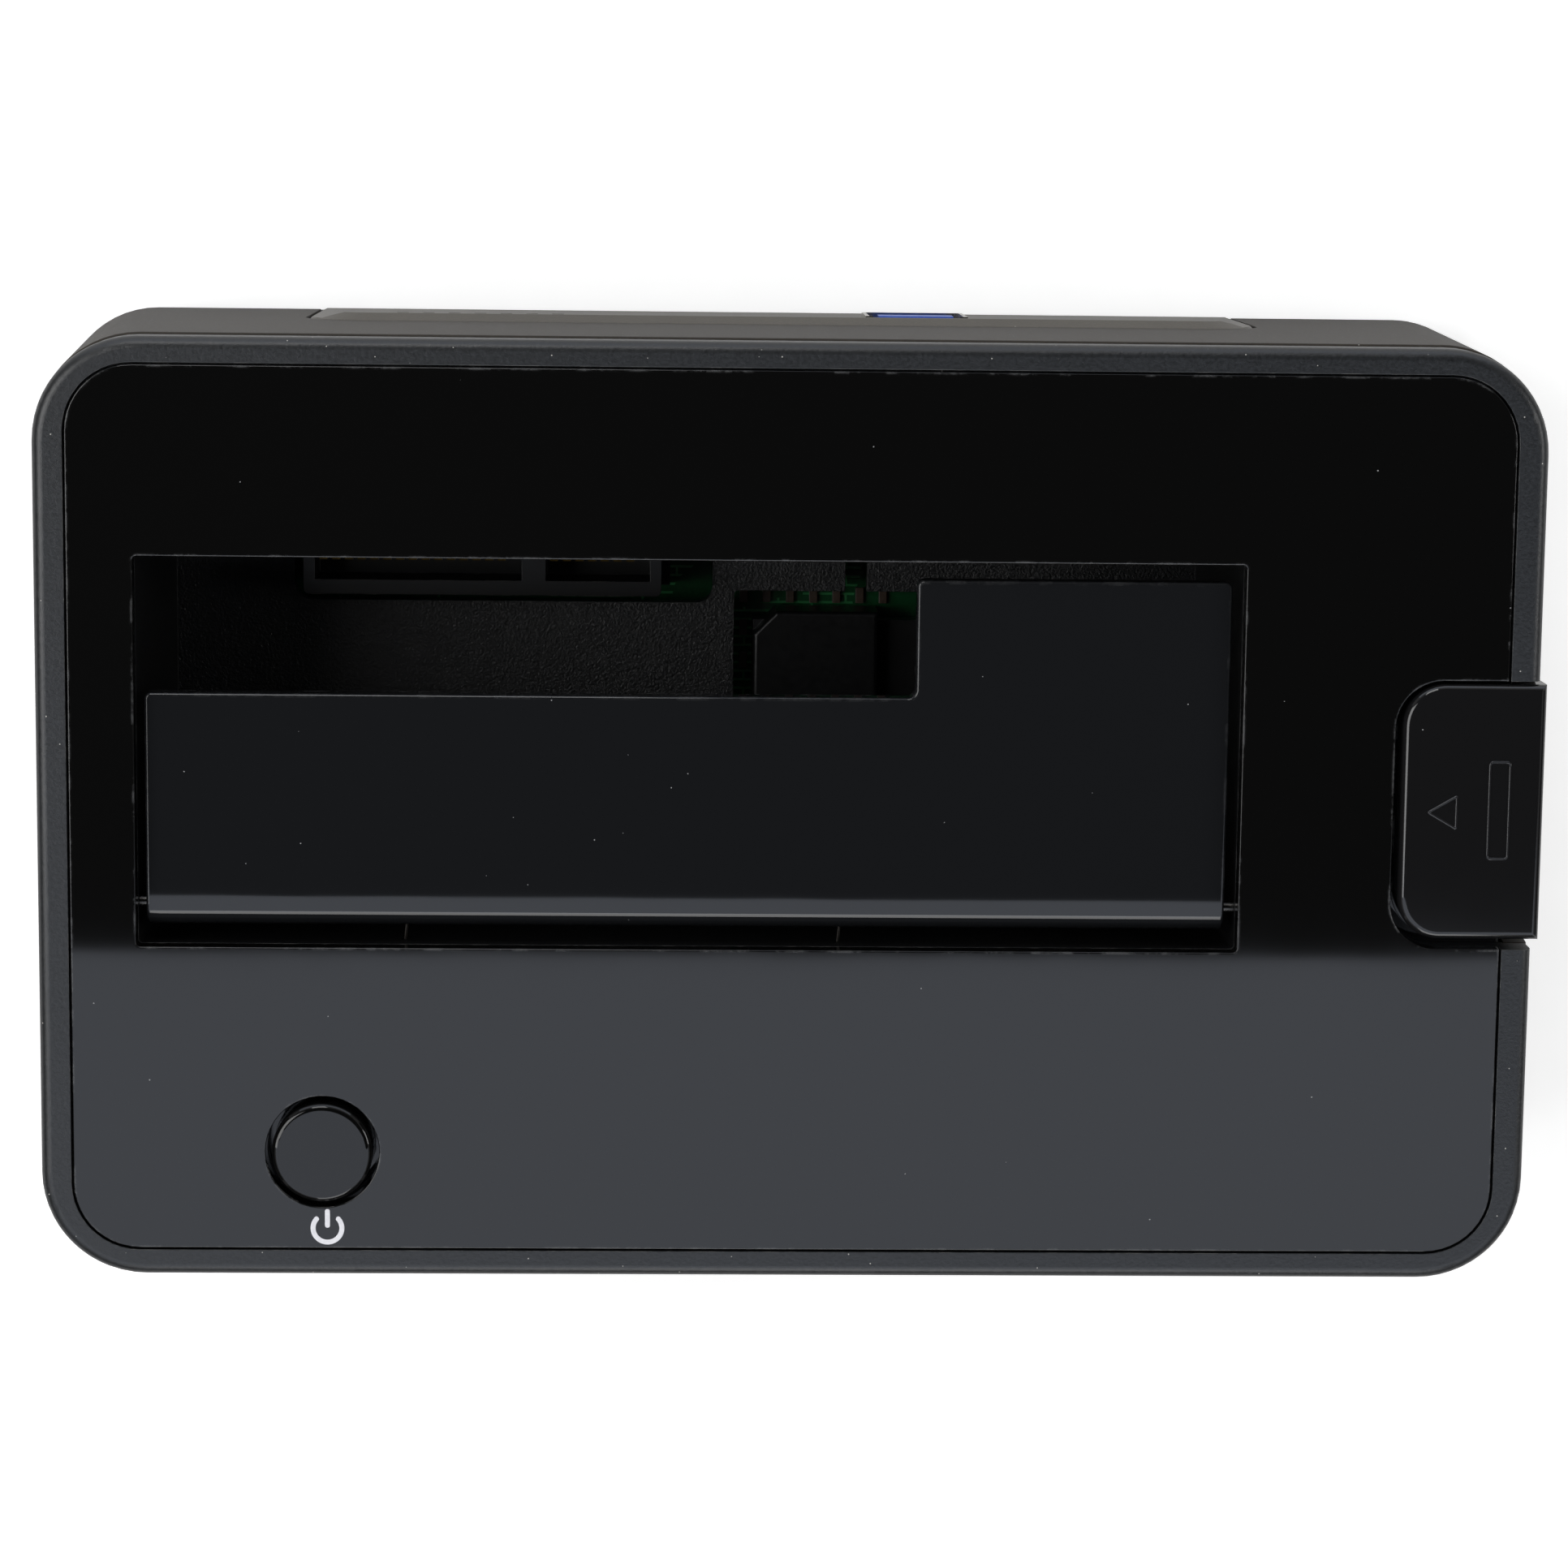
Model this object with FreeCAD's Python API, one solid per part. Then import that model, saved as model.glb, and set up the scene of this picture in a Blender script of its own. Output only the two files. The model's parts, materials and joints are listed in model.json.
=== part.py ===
"""A desktop docking station for bare hard drives, in millimetres.

X runs to the right, Y to the back and Z up. The origin lies on the desk, under the middle of the case.
A drive stands upright in the bay, with its connector down. The flap over the slot swings down into
the bay for a wide drive, and its notch takes a narrow one.
"""
import FreeCAD, Part
import math
import os

V = FreeCAD.Vector

# Case
CASE_WIDTH = 141.0
CASE_DEPTH = 89.0
CASE_HEIGHT = 62.0
CASE_CORNER_R = 10.0
SIDE_FLARE = 4.2
WALL = 2.2
TOP_EDGE_R = 1.1
BASE_EDGE_R = 1.2
SEAM_STEP = 0.2
SEAM_GAP = 0.35
SEAM_EDGE_R = 0.25
LIP_THICKNESS = 1.4
LIP_HEIGHT = 3.0
FIT_GAP = 0.15
FOOT_STANDOFF = 1.5
BASE_SIDE_HEIGHT = 3.7
BASE_FLOOR = 2.2

# Top cover and gloss plate
COVER_SIDE_HEIGHT = 3.4
RIM_SIDE = 3.1
RIM_FRONT = 2.7
RIM_BACK = 2.6
PLATE_GROOVE = 0.2
PLATE_THICKNESS = 2.0
PLATE_CORNER_R = 6.4
PLATE_EDGE_R = 0.12
DECK_THICKNESS = 1.8

# Drive slot and bay; the margins run from the case's left, right and back sides
SLOT_LEFT_MARGIN = 9.4
SLOT_RIGHT_MARGIN = 28.2
SLOT_BACK_MARGIN = 20.45
SLOT_DEPTH = 36.7
SLOT_CORNER_R = 0.4
BAY_WALL = 1.6
BAY_DEPTH = 38.0
BAY_FLOOR = 2.0
BAY_TO_PLATE_GAP = 0.1
BAY_TO_DECK_GAP = 0.3
EAR_THICKNESS = 1.8
EAR_WIDTH = 7.0
EAR_REACH = 7.6
EAR_DROP = 6.0
EAR_INSET_LEFT = 11.1
EAR_INSET_RIGHT = 12.3

# Flap
FLAP_RECESS = 1.5
FLAP_THICKNESS = 2.0
FLAP_LEFT_GAP = 0.8
FLAP_RIGHT_GAP = 1.1
FLAP_FRONT_GAP = 1.65
FLAP_BACK_GAP = 1.8
FLAP_BARREL_R = 2.1
FLAP_EDGE_R = 0.3
FLAP_RIB_HEIGHT = 2.2
FLAP_RIB_THICKNESS = 1.2
FLAP_RIB_COUNT = 4
NOTCH_WIDTH = 72.8
NOTCH_DEPTH = 12.9
NOTCH_INNER_R = 0.8
NOTCH_OUTER_R = 0.6
HINGE_PIN_R = 0.6
HINGE_RUNNING_GAP = 0.06
PIN_FIT_GAP = 0.02
PIN_END_GAP = 0.3

# Flap springs; their places are counted from the slot's left end
FLAP_SPRING_PLACES = (28.1, 69.1)
FLAP_SPRING_WIRE_R = 0.175
FLAP_SPRING_R = 1.15
FLAP_SPRING_PITCH = 0.8
FLAP_SPRING_TURNS = 7
FLAP_SPRING_LEG = 6.0
FLAP_SPRING_POCKET_R = 1.6
FLAP_SPRING_END_ROOM = 0.6
FLAP_SPRING_LEG_GAP = 0.03
FLAP_SPRING_HOLE_DEPTH = 1.2
FLAP_SPRING_HOLE_R = 0.3
FLAP_SPRING_SEAT_WIDTH = 2.0
FLAP_SPRING_SEAT_START = 2.6

# Eject button
EJECT_WIDTH = 13.1
EJECT_LENGTH = 24.25
EJECT_FRONT_STEP = 1.45
EJECT_OVERHANG = 0.35
EJECT_CORNER_R = 4.0
EJECT_GAP_LEFT = 0.7
EJECT_GAP_FRONT = 1.0
EJECT_GAP_BACK = 0.3
EJECT_CUT_CORNER_R = 4.5
EJECT_EDGE_R = 0.7
EJECT_PROUD = 0.3
EJECT_TRAVEL = 7.5
EJECT_SKIRT_HEIGHT = 9.0
EJECT_SILL_ROOM = 1.0
EJECT_SILL_CORNER_R = 1.0
EJECT_APRON_THICKNESS = 1.5
EJECT_APRON_GAP = 0.45
EJECT_APRON_BELOW_SILL = 3.5
EJECT_FLANGE_THICKNESS = 1.5
EJECT_FLANGE_REACH = 1.6
EJECT_FLANGE_GAP = 0.3
STEM_INSET = 3.6
STEM_R = 2.4
STEM_RUNNING_GAP = 0.08
STEM_FOOT_GAP = 0.35
SHELF_THICKNESS = 2.4
SHELF_REACH = 4.6
SHELF_HALF_WIDTH = 9.0
SHELF_CORNER_R = 1.0
GUSSET_THICKNESS = 1.6
GUSSET_DROP = 10.0
GUSSET_TO_STEM = 1.16
RETURN_SPRING_ROOM = 19.4
RETURN_SPRING_R = 3.7
RETURN_SPRING_WIRE_R = 0.4
RETURN_SPRING_TURNS = 7
RETURN_SPRING_SEAT_GAP = 0.02

# SATA receptacle, on the drive's connector grid; its place is counted from the slot's left and back
SATA_PITCH = 1.27
SATA_POWER_PINS = 15
SATA_SIGNAL_PINS = 7
SATA_POWER_SLOT = 20.57
SATA_DIVIDER = 2.41
SATA_SIGNAL_SLOT = 10.41
SATA_END_WALL = 1.15
SATA_INSET_LEFT = 13.3
SATA_INSET_BACK = 6.75
SATA_THICKNESS = 5.8
SATA_HEIGHT = 14.4
SATA_SLOT_WIDTH = 2.2
SATA_SLOT_FRONT_WALL = 1.5
SATA_SLOT_DEPTH = 6.5
SATA_KEY_WIDTH = 1.2
SATA_KEY_DEPTH = 1.1
SATA_CONTACT_WIDTH = 0.8
SATA_CONTACT_THICKNESS = 0.3
SATA_CONTACT_TOP_GAP = 0.9
SATA_FLANGE_HEIGHT = 3.0
SATA_FLANGE_REACH = 0.9

# Floor openings of the bay: one round the receptacle, one for the lifter
PORT_OPENING_END_GAP = 1.4
PORT_OPENING_RIGHT_ROOM = 5.21
PORT_OPENING_FRONT_ROOM = 1.3
PORT_OPENING_CORNER_R = 1.6
LIFTER_OPENING_GAP = 2.2
LIFTER_OPENING_LENGTH = 26.3
LIFTER_OPENING_FRONT_MARGIN = 5.65
LIFTER_OPENING_BACK_MARGIN = 6.81
LIFTER_NOTCH_PLACE = 11.3
LIFTER_NOTCH_WIDTH = 2.2
LIFTER_NOTCH_DEPTH = 3.0

# Eject lever
LEVER_PIVOT_GAP = 3.4
LEVER_PIVOT_UNDER_FLOOR = 2.6
LEVER_THICKNESS = 3.0
LEVER_HUB_R = 2.3
LEVER_PIN_R = 1.25
LEVER_PIN_RUNNING_GAP = 0.06
LEVER_FRONT_GAP = 2.0
LEVER_BACK_GAP = 3.24
LEVER_ARM_HALF_WIDTH = 5.0
LEVER_ARM_END = 3.0
LEVER_PAD_R = 1.6
LIFTER_LEFT_GAP = 2.0
LIFTER_BACK_GAP = 2.14
LIFTER_LENGTH = 12.7
LIFTER_CHAMFER = 2.3
LIFTER_EDGE_R = 0.4
LIFTER_BELOW_FLOOR_TOP = 0.2
LEVER_EAR_THICKNESS = 2.0
LEVER_EAR_GAP = 0.3
LEVER_EAR_R = 2.5

# Power button and its switch; the insets run from the case's left and front sides
POWER_INSET_LEFT = 26.7
POWER_INSET_FRONT = 12.25
POWER_WELL_R = 5.35
POWER_CAP_R = 4.75
POWER_CAP_EDGE_R = 0.6
POWER_PROUD = 0.7
POWER_FLANGE_R = 6.4
POWER_FLANGE_THICKNESS = 1.2
POWER_FLANGE_GAP = 0.3
POWER_STEM_R = 1.6
POWER_TRAVEL = 1.2
SWITCH_BOARD_WIDTH = 27.0
SWITCH_BOARD_DEPTH = 14.0
SWITCH_BOARD_THICKNESS = 1.6
SWITCH_BOARD_DROP = 10.6
SWITCH_BODY = 6.0
SWITCH_BODY_HEIGHT = 3.4
SWITCH_BODY_CORNER_R = 0.4
SWITCH_PLUNGER_R = 1.7
SWITCH_PLUNGER_ROOM = 0.1
SWITCH_PLUNGER_HOLD = 1.0
SWITCH_BOSS_R = 2.6
SWITCH_BOSS_REACH = 10.6
LED_LENGTH = 2.0
LED_WIDTH = 1.25
LED_HEIGHT = 0.8
LED_OFFSET_Y = 4.6

# Main board; its edges are counted from the slot, the lever, the inlet and the port panel
BOARD_THICKNESS = 1.6
BOARD_TO_BAY_GAP = 5.4
BOARD_LEFT_STEP = 3.1
BOARD_RIGHT_REACH = 8.15
BOARD_FRONT_REACH = 11.35
BOARD_BACK_GAP = 0.25
BOARD_WAIST_GAP = 4.0
BOARD_WAIST_BACK_GAP = 3.5
BOARD_CORNER_R = 1.5
BOARD_POST_R = 3.0
BOARD_POST_INSET = 4.0

# Rear port panel
PANEL_WIDTH = 95.0
PANEL_CENTRE_X = -0.1
PANEL_OVER_USB = 3.8
PANEL_CORNER_R = 6.0
PANEL_GAP = 0.25
PANEL_PROUD = 0.1
PANEL_BEVEL = 0.4
HOOD_PROUD = 0.7
HOOD_HEIGHT = 2.4
HOOD_SLOPE = 1.8
PANEL_FLANGE_REACH = 2.0
PANEL_FLANGE_THICKNESS = 1.4
PORT_BEVEL = 0.9
PORT_MOUTH_GAP = 0.3
PORT_FACE_SETBACK = 0.6

# Ports on the main board's back edge; their places are counted from the panel's left end
USB_PLACE = 60.95
USB_WIDTH = 10.3
USB_HEIGHT = 10.6
USB_DEPTH = 15.0
USB_SHELL = 0.4
USB_CORNER_CUT = 1.8
USB_TONGUE_WIDTH = 7.5
USB_TONGUE_HEIGHT = 3.2
USB_TONGUE_RISE = 4.8
USB_TONGUE_SETBACK = 0.02
USB_PROUD = 0.6
USB_BLOCK_DEPTH = 5.0
USB_CONTACTS = 5
USB_CONTACT_PITCH = 1.2
USB_CONTACT_WIDTH = 0.6
USB_CONTACT_THICKNESS = 0.2
USB_CONTACT_SETBACK = 0.4
ESATA_PLACE = 39.1
ESATA_WIDTH = 12.6
ESATA_HEIGHT = 5.4
ESATA_DEPTH = 12.0
ESATA_SHELL = 0.4
ESATA_TONGUE_WIDTH = 8.8
ESATA_TONGUE_HEIGHT = 1.3
ESATA_TONGUE_SETBACK = 1.5
ESATA_BLOCK_DEPTH = 4.0
ESATA_RISE = 1.2
INLET_PLACE = 77.45
INLET_WIDTH = 9.0
INLET_HEIGHT = 11.0
INLET_DEPTH = 14.5
INLET_BORE_R = 2.95
INLET_BORE_DEPTH = 9.5
INLET_PIN_R = 1.05
INLET_PIN_SETBACK = 0.8
INLET_NOSE_R = 4.3
LOCK_PLACE = 50.6
LOCK_WIDTH = 3.0
LOCK_HEIGHT = 7.0
LOCK_RISE = 5.6
LOCK_PLATE_RIM_SIDE = 2.8
LOCK_PLATE_RIM_TOP = 1.3
LOCK_PLATE_THICKNESS = 1.2
VENT_PLACE = 8.2
VENT_FIELD_WIDTH = 17.1
VENT_COUNT = 7
VENT_WIDTH = 1.2
VENT_FOOT_RISE = 8.8
VENT_TOP_DROP = 5.0
VENT_INNER_DROP = 3.0

# Parts on the main board; the insets run from its left and front edges
CHIP_INSET_LEFT = 36.0
CHIP_INSET_FRONT = 24.0
CHIP_SIZE = 10.0
CHIP_HEIGHT = 1.4
CHIP_LEAD_REACH = 1.0
CHIP_LEAD_THICKNESS = 0.35
REGULATOR_INSET_LEFT = 14.0
REGULATOR_INSET_FRONT = 26.0
REGULATOR_PITCH = 10.0
REGULATOR_COUNT = 2
REGULATOR_LENGTH = 6.5
REGULATOR_WIDTH = 6.1
REGULATOR_HEIGHT = 2.3
CRYSTAL_INSET_LEFT = 45.0
CRYSTAL_INSET_FRONT = 12.0
CRYSTAL_LENGTH = 11.0
CRYSTAL_WIDTH = 4.6
CRYSTAL_HEIGHT = 3.4
INDUCTOR_INSET_LEFT = 60.0
INDUCTOR_INSET_FRONT = 5.0
INDUCTOR_SIZE = 7.3
INDUCTOR_HEIGHT = 4.0
INDUCTOR_CORNER_R = 1.6
CAPACITOR_R = 3.15
CAPACITOR_HEIGHT = 7.5
CAPACITOR_EDGE_R = 0.4
CAPACITOR_INSET_LEFT = 12.0
CAPACITOR_INSET_BACK = 7.5
CAPACITOR_PITCH = 9.0
CAPACITOR_COUNT = 3
CHIP_PART_LENGTH = 1.6
CHIP_PART_WIDTH = 0.8
CHIP_PART_HEIGHT = 0.6
CHIP_PART_PLACE = 8.3
CHIP_PART_STEP = 1.0
CHIP_PART_PITCH = 2.4
CHIP_PART_COUNT = 8
CHIP_PART_ROWS = 3
CHIP_PART_ROW_PITCH = 3.4

# Ribbon lead between the switch board and the main board
LEAD_OFFSET = 3.6
LEAD_WIDTH = 5.0
LEAD_THICKNESS = 0.9
LEAD_FLAT = 0.1
LEAD_BEND_R = 5.0
LEAD_STRAIGHT = 5.0
HEADER_INSET = 4.5
HEADER_WIDTH = 7.5
HEADER_DEPTH = 4.6
HEADER_HEIGHT = 5.0

# Screws and feet; the insets run from the case's sides
SCREW_SHANK_R = 1.15
SCREW_PILOT_GAP = 0.05
SCREW_CLEAR_R = 1.5
SCREW_HEAD_R = 2.4
SCREW_HEAD_HEIGHT = 1.6
SCREW_HEAD_EDGE_R = 0.5
SCREW_RECESS_R = 0.9
SCREW_RECESS_DEPTH = 0.9
CASE_SCREW_INSET = 8.5
CASE_BOSS_R = 3.2
CASE_POST_WALL = 1.4
CASE_POST_RISE = 8.3
CASE_SCREW_SEAT = 4.0
CASE_SCREW_BITE = 8.0
SMALL_SCREW_BITE = 4.2
BOSS_PILOT_ROOM = 0.8
FOOT_R = 5.0
FOOT_INSET_SIDE = 15.5
FOOT_INSET_END = 16.5
FOOT_POCKET = 0.6
FOOT_EDGE_R = 0.5
FOOT_POCKET_GAP = 0.1
BASE_VENT_COUNT = 9
BASE_VENT_WIDTH = 2.0
BASE_VENT_LENGTH = 18.0
BASE_VENT_PITCH = 5.0
BASE_VENT_FLAT = 0.02

# How far a cutting block runs past what it cuts
PAST = 1.0

# Levels that follow from the sizes above
PLATE_BOTTOM_Z = CASE_HEIGHT - PLATE_THICKNESS
DECK_BOTTOM_Z = PLATE_BOTTOM_Z - DECK_THICKNESS
COVER_EDGE_Z = CASE_HEIGHT - COVER_SIDE_HEIGHT
HOUSING_TOP_Z = COVER_EDGE_Z - SEAM_GAP
BASE_EDGE_Z = FOOT_STANDOFF + BASE_SIDE_HEIGHT
HOUSING_BOTTOM_Z = BASE_EDGE_Z + SEAM_GAP
BASE_FLOOR_Z = FOOT_STANDOFF + BASE_FLOOR
BAY_FLOOR_Z = CASE_HEIGHT - BAY_DEPTH
BAY_BOTTOM_Z = BAY_FLOOR_Z - BAY_FLOOR
BAY_TOP_Z = PLATE_BOTTOM_Z - BAY_TO_PLATE_GAP
EAR_BOTTOM_Z = DECK_BOTTOM_Z - EAR_DROP
EAR_BOSS_Z = EAR_BOTTOM_Z + EAR_THICKNESS
BOARD_TOP_Z = BAY_BOTTOM_Z - BOARD_TO_BAY_GAP
BOARD_BOTTOM_Z = BOARD_TOP_Z - BOARD_THICKNESS
SATA_TOP_Z = BOARD_TOP_Z + SATA_HEIGHT
FLAP_TOP_Z = CASE_HEIGHT - FLAP_RECESS
HINGE_Z = FLAP_TOP_Z - FLAP_BARREL_R
EJECT_SKIRT_BOTTOM_Z = CASE_HEIGHT - EJECT_SKIRT_HEIGHT
EJECT_SILL_Z = EJECT_SKIRT_BOTTOM_Z - EJECT_TRAVEL - EJECT_SILL_ROOM
EJECT_APRON_BOTTOM_Z = EJECT_SILL_Z - EJECT_APRON_BELOW_SILL
EJECT_FLANGE_TOP_Z = DECK_BOTTOM_Z - EJECT_FLANGE_GAP
EJECT_FLANGE_BOTTOM_Z = EJECT_FLANGE_TOP_Z - EJECT_FLANGE_THICKNESS
SHELF_TOP_Z = EJECT_FLANGE_BOTTOM_Z - RETURN_SPRING_ROOM
LEVER_PIVOT_Z = BAY_BOTTOM_Z - LEVER_PIVOT_UNDER_FLOOR
LEVER_TOP_Z = LEVER_PIVOT_Z + LEVER_THICKNESS / 2
POWER_FLANGE_TOP_Z = DECK_BOTTOM_Z - POWER_FLANGE_GAP
POWER_FLANGE_BOTTOM_Z = POWER_FLANGE_TOP_Z - POWER_FLANGE_THICKNESS
SWITCH_BOARD_TOP_Z = DECK_BOTTOM_Z - SWITCH_BOARD_DROP
SWITCH_BOARD_BOTTOM_Z = SWITCH_BOARD_TOP_Z - SWITCH_BOARD_THICKNESS
SWITCH_BODY_TOP_Z = SWITCH_BOARD_TOP_Z + SWITCH_BODY_HEIGHT
PLUNGER_TOP_Z = SWITCH_BODY_TOP_Z + POWER_TRAVEL + 2 * SWITCH_PLUNGER_ROOM
CASE_POST_TOP_Z = BASE_FLOOR_Z + CASE_POST_RISE
CASE_SCREW_SEAT_Z = CASE_POST_TOP_Z - CASE_SCREW_SEAT
PANEL_TOP_Z = BOARD_TOP_Z + USB_HEIGHT + PANEL_OVER_USB
HOOD_EDGE_Z = PANEL_TOP_Z - HOOD_HEIGHT
LOCK_CENTRE_Z = BOARD_TOP_Z + LOCK_RISE
INLET_CENTRE_Z = BOARD_TOP_Z + INLET_HEIGHT / 2
VENT_BOTTOM_Z = BASE_EDGE_Z + VENT_FOOT_RISE
VENT_TOP_Z = PANEL_TOP_Z - VENT_TOP_DROP

# Places in plan that follow from the sizes above
SLOT_LEFT_X = SLOT_LEFT_MARGIN - CASE_WIDTH / 2
SLOT_WIDTH = CASE_WIDTH - SLOT_LEFT_MARGIN - SLOT_RIGHT_MARGIN
SLOT_RIGHT_X = SLOT_LEFT_X + SLOT_WIDTH
SLOT_BACK_Y = CASE_DEPTH / 2 - SLOT_BACK_MARGIN
SLOT_FRONT_Y = SLOT_BACK_Y - SLOT_DEPTH
HINGE_Y = SLOT_FRONT_Y + FLAP_FRONT_GAP + FLAP_BARREL_R
FLAP_LEFT_X = SLOT_LEFT_X + FLAP_LEFT_GAP
FLAP_RIGHT_X = SLOT_RIGHT_X - FLAP_RIGHT_GAP
EAR_LEFT_X = SLOT_LEFT_X + EAR_INSET_LEFT
EAR_RIGHT_X = SLOT_RIGHT_X - EAR_INSET_RIGHT
NOTCH_X = SLOT_LEFT_X + NOTCH_WIDTH
NOTCH_Y = SLOT_BACK_Y - NOTCH_DEPTH
EJECT_LEFT_X = CASE_WIDTH / 2 - EJECT_WIDTH
EJECT_RIGHT_X = CASE_WIDTH / 2 + EJECT_OVERHANG
EJECT_FRONT_Y = SLOT_FRONT_Y + EJECT_FRONT_STEP
EJECT_BACK_Y = EJECT_FRONT_Y + EJECT_LENGTH
STEM_X = EJECT_LEFT_X + STEM_INSET
STEM_Y = (EJECT_FRONT_Y + EJECT_BACK_Y) / 2
SATA_LENGTH = SATA_POWER_SLOT + SATA_DIVIDER + SATA_SIGNAL_SLOT + 2 * SATA_END_WALL
SATA_LEFT_X = SLOT_LEFT_X + SATA_INSET_LEFT
SATA_RIGHT_X = SATA_LEFT_X + SATA_LENGTH
SATA_FRONT_Y = SLOT_BACK_Y - SATA_INSET_BACK
SATA_BACK_Y = SATA_FRONT_Y + SATA_THICKNESS
PORT_OPENING_RIGHT_X = SATA_RIGHT_X + PORT_OPENING_RIGHT_ROOM
PORT_OPENING_FRONT_Y = SATA_FRONT_Y - PORT_OPENING_FRONT_ROOM
LIFTER_OPENING_LEFT_X = PORT_OPENING_RIGHT_X + LIFTER_OPENING_GAP
LIFTER_OPENING_RIGHT_X = LIFTER_OPENING_LEFT_X + LIFTER_OPENING_LENGTH
LIFTER_OPENING_FRONT_Y = SLOT_FRONT_Y + LIFTER_OPENING_FRONT_MARGIN
LIFTER_OPENING_BACK_Y = SLOT_BACK_Y - LIFTER_OPENING_BACK_MARGIN
LIFTER_NOTCH_LEFT_X = LIFTER_OPENING_LEFT_X + LIFTER_NOTCH_PLACE
LEVER_PIVOT_X = LIFTER_OPENING_RIGHT_X + LEVER_PIVOT_GAP
LEVER_FRONT_Y = LIFTER_OPENING_FRONT_Y + LEVER_FRONT_GAP
LEVER_BACK_Y = LIFTER_OPENING_BACK_Y - LEVER_BACK_GAP
LIFTER_LEFT_X = LIFTER_OPENING_LEFT_X + LIFTER_LEFT_GAP
LIFTER_RIGHT_X = LIFTER_LEFT_X + LIFTER_LENGTH
LIFTER_BACK_Y = LIFTER_OPENING_BACK_Y - LIFTER_BACK_GAP
POWER_X = POWER_INSET_LEFT - CASE_WIDTH / 2
POWER_Y = POWER_INSET_FRONT - CASE_DEPTH / 2
PANEL_LEFT_X = PANEL_CENTRE_X - PANEL_WIDTH / 2
PANEL_RIGHT_X = PANEL_LEFT_X + PANEL_WIDTH
PANEL_FACE_Y = CASE_DEPTH / 2 + PANEL_PROUD
HOOD_FACE_Y = CASE_DEPTH / 2 + HOOD_PROUD
PANEL_INNER_Y = CASE_DEPTH / 2 - WALL - FIT_GAP - PANEL_FLANGE_THICKNESS
PORT_FACE_Y = PANEL_FACE_Y - PORT_FACE_SETBACK
USB_CENTRE_X = PANEL_LEFT_X + USB_PLACE
USB_MOUTH_Y = PANEL_FACE_Y + USB_PROUD
ESATA_CENTRE_X = PANEL_LEFT_X + ESATA_PLACE
INLET_CENTRE_X = PANEL_LEFT_X + INLET_PLACE
LOCK_CENTRE_X = PANEL_LEFT_X + LOCK_PLACE
VENT_LEFT_X = PANEL_LEFT_X + VENT_PLACE
VENT_RIGHT_X = VENT_LEFT_X + VENT_FIELD_WIDTH
BOARD_LEFT_X = SLOT_LEFT_X + BOARD_LEFT_STEP
BOARD_RIGHT_X = INLET_CENTRE_X + BOARD_RIGHT_REACH
BOARD_FRONT_Y = SLOT_FRONT_Y - BOARD_FRONT_REACH
BOARD_BACK_Y = PANEL_INNER_Y - BOARD_BACK_GAP
BOARD_WAIST_X = LEVER_PIVOT_X + BOARD_WAIST_GAP
BOARD_WAIST_BACK_Y = LEVER_BACK_Y + BOARD_WAIST_BACK_GAP
CHIP_X = BOARD_LEFT_X + CHIP_INSET_LEFT
CHIP_Y = BOARD_FRONT_Y + CHIP_INSET_FRONT
REGULATOR_X = BOARD_LEFT_X + REGULATOR_INSET_LEFT
REGULATOR_Y = BOARD_FRONT_Y + REGULATOR_INSET_FRONT
CRYSTAL_X = BOARD_LEFT_X + CRYSTAL_INSET_LEFT
CRYSTAL_Y = BOARD_FRONT_Y + CRYSTAL_INSET_FRONT
INDUCTOR_X = BOARD_LEFT_X + INDUCTOR_INSET_LEFT
INDUCTOR_Y = BOARD_FRONT_Y + INDUCTOR_INSET_FRONT
CAPACITOR_X = BOARD_LEFT_X + CAPACITOR_INSET_LEFT
CAPACITOR_Y = BOARD_BACK_Y - CAPACITOR_INSET_BACK
CHIP_PART_ROW_X = LIFTER_OPENING_LEFT_X + CHIP_PART_PLACE
CHIP_PART_ROW_Y = LIFTER_BACK_Y + CHIP_PART_STEP
LEAD_X = POWER_X - LEAD_OFFSET
LEAD_FRONT_Y = POWER_Y
LEAD_BACK_Y = BOARD_FRONT_Y + HEADER_INSET
CASE_SCREW_X = CASE_WIDTH / 2 - CASE_SCREW_INSET
CASE_SCREW_Y = CASE_DEPTH / 2 - CASE_SCREW_INSET
FOOT_X = CASE_WIDTH / 2 - FOOT_INSET_SIDE
FOOT_Y = CASE_DEPTH / 2 - FOOT_INSET_END


def box(x0, x1, y0, y1, z0, z1):
    """A plain block between two corners."""
    return Part.makeBox(x1 - x0, y1 - y0, z1 - z0, V(x0, y0, z0))


def rounded_wire(x0, x1, y0, y1, z, r):
    """A flat rectangle with four round corners, as one closed wire."""
    k = r * (1 - math.sqrt(0.5))
    lines = [
        ((x0 + r, y0), (x1 - r, y0)),
        ((x1, y0 + r), (x1, y1 - r)),
        ((x1 - r, y1), (x0 + r, y1)),
        ((x0, y1 - r), (x0, y0 + r)),
    ]
    middles = [(x1 - k, y0 + k), (x1 - k, y1 - k), (x0 + k, y1 - k), (x0 + k, y0 + k)]
    edges = []
    for i, (start, end) in enumerate(lines):
        following = lines[(i + 1) % len(lines)][0]
        edges.append(Part.LineSegment(V(*start, z), V(*end, z)).toShape())
        edges.append(Part.Arc(V(*end, z), V(*middles[i], z), V(*following, z)).toShape())
    return Part.Wire(edges)


def rounded_box(x0, x1, y0, y1, z0, z1, r):
    """A block whose four upright edges are round."""
    face = Part.Face(rounded_wire(x0, x1, y0, y1, z0, r))
    return face.extrude(V(0, 0, z1 - z0))


def case_wire(inset, lean, z):
    """The case's outline at one height, drawn in by inset and let out by lean on the left and right."""
    x = CASE_WIDTH / 2 + lean - inset
    y = CASE_DEPTH / 2 - inset
    return rounded_wire(-x, x, -y, y, z, CASE_CORNER_R - inset)


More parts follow.
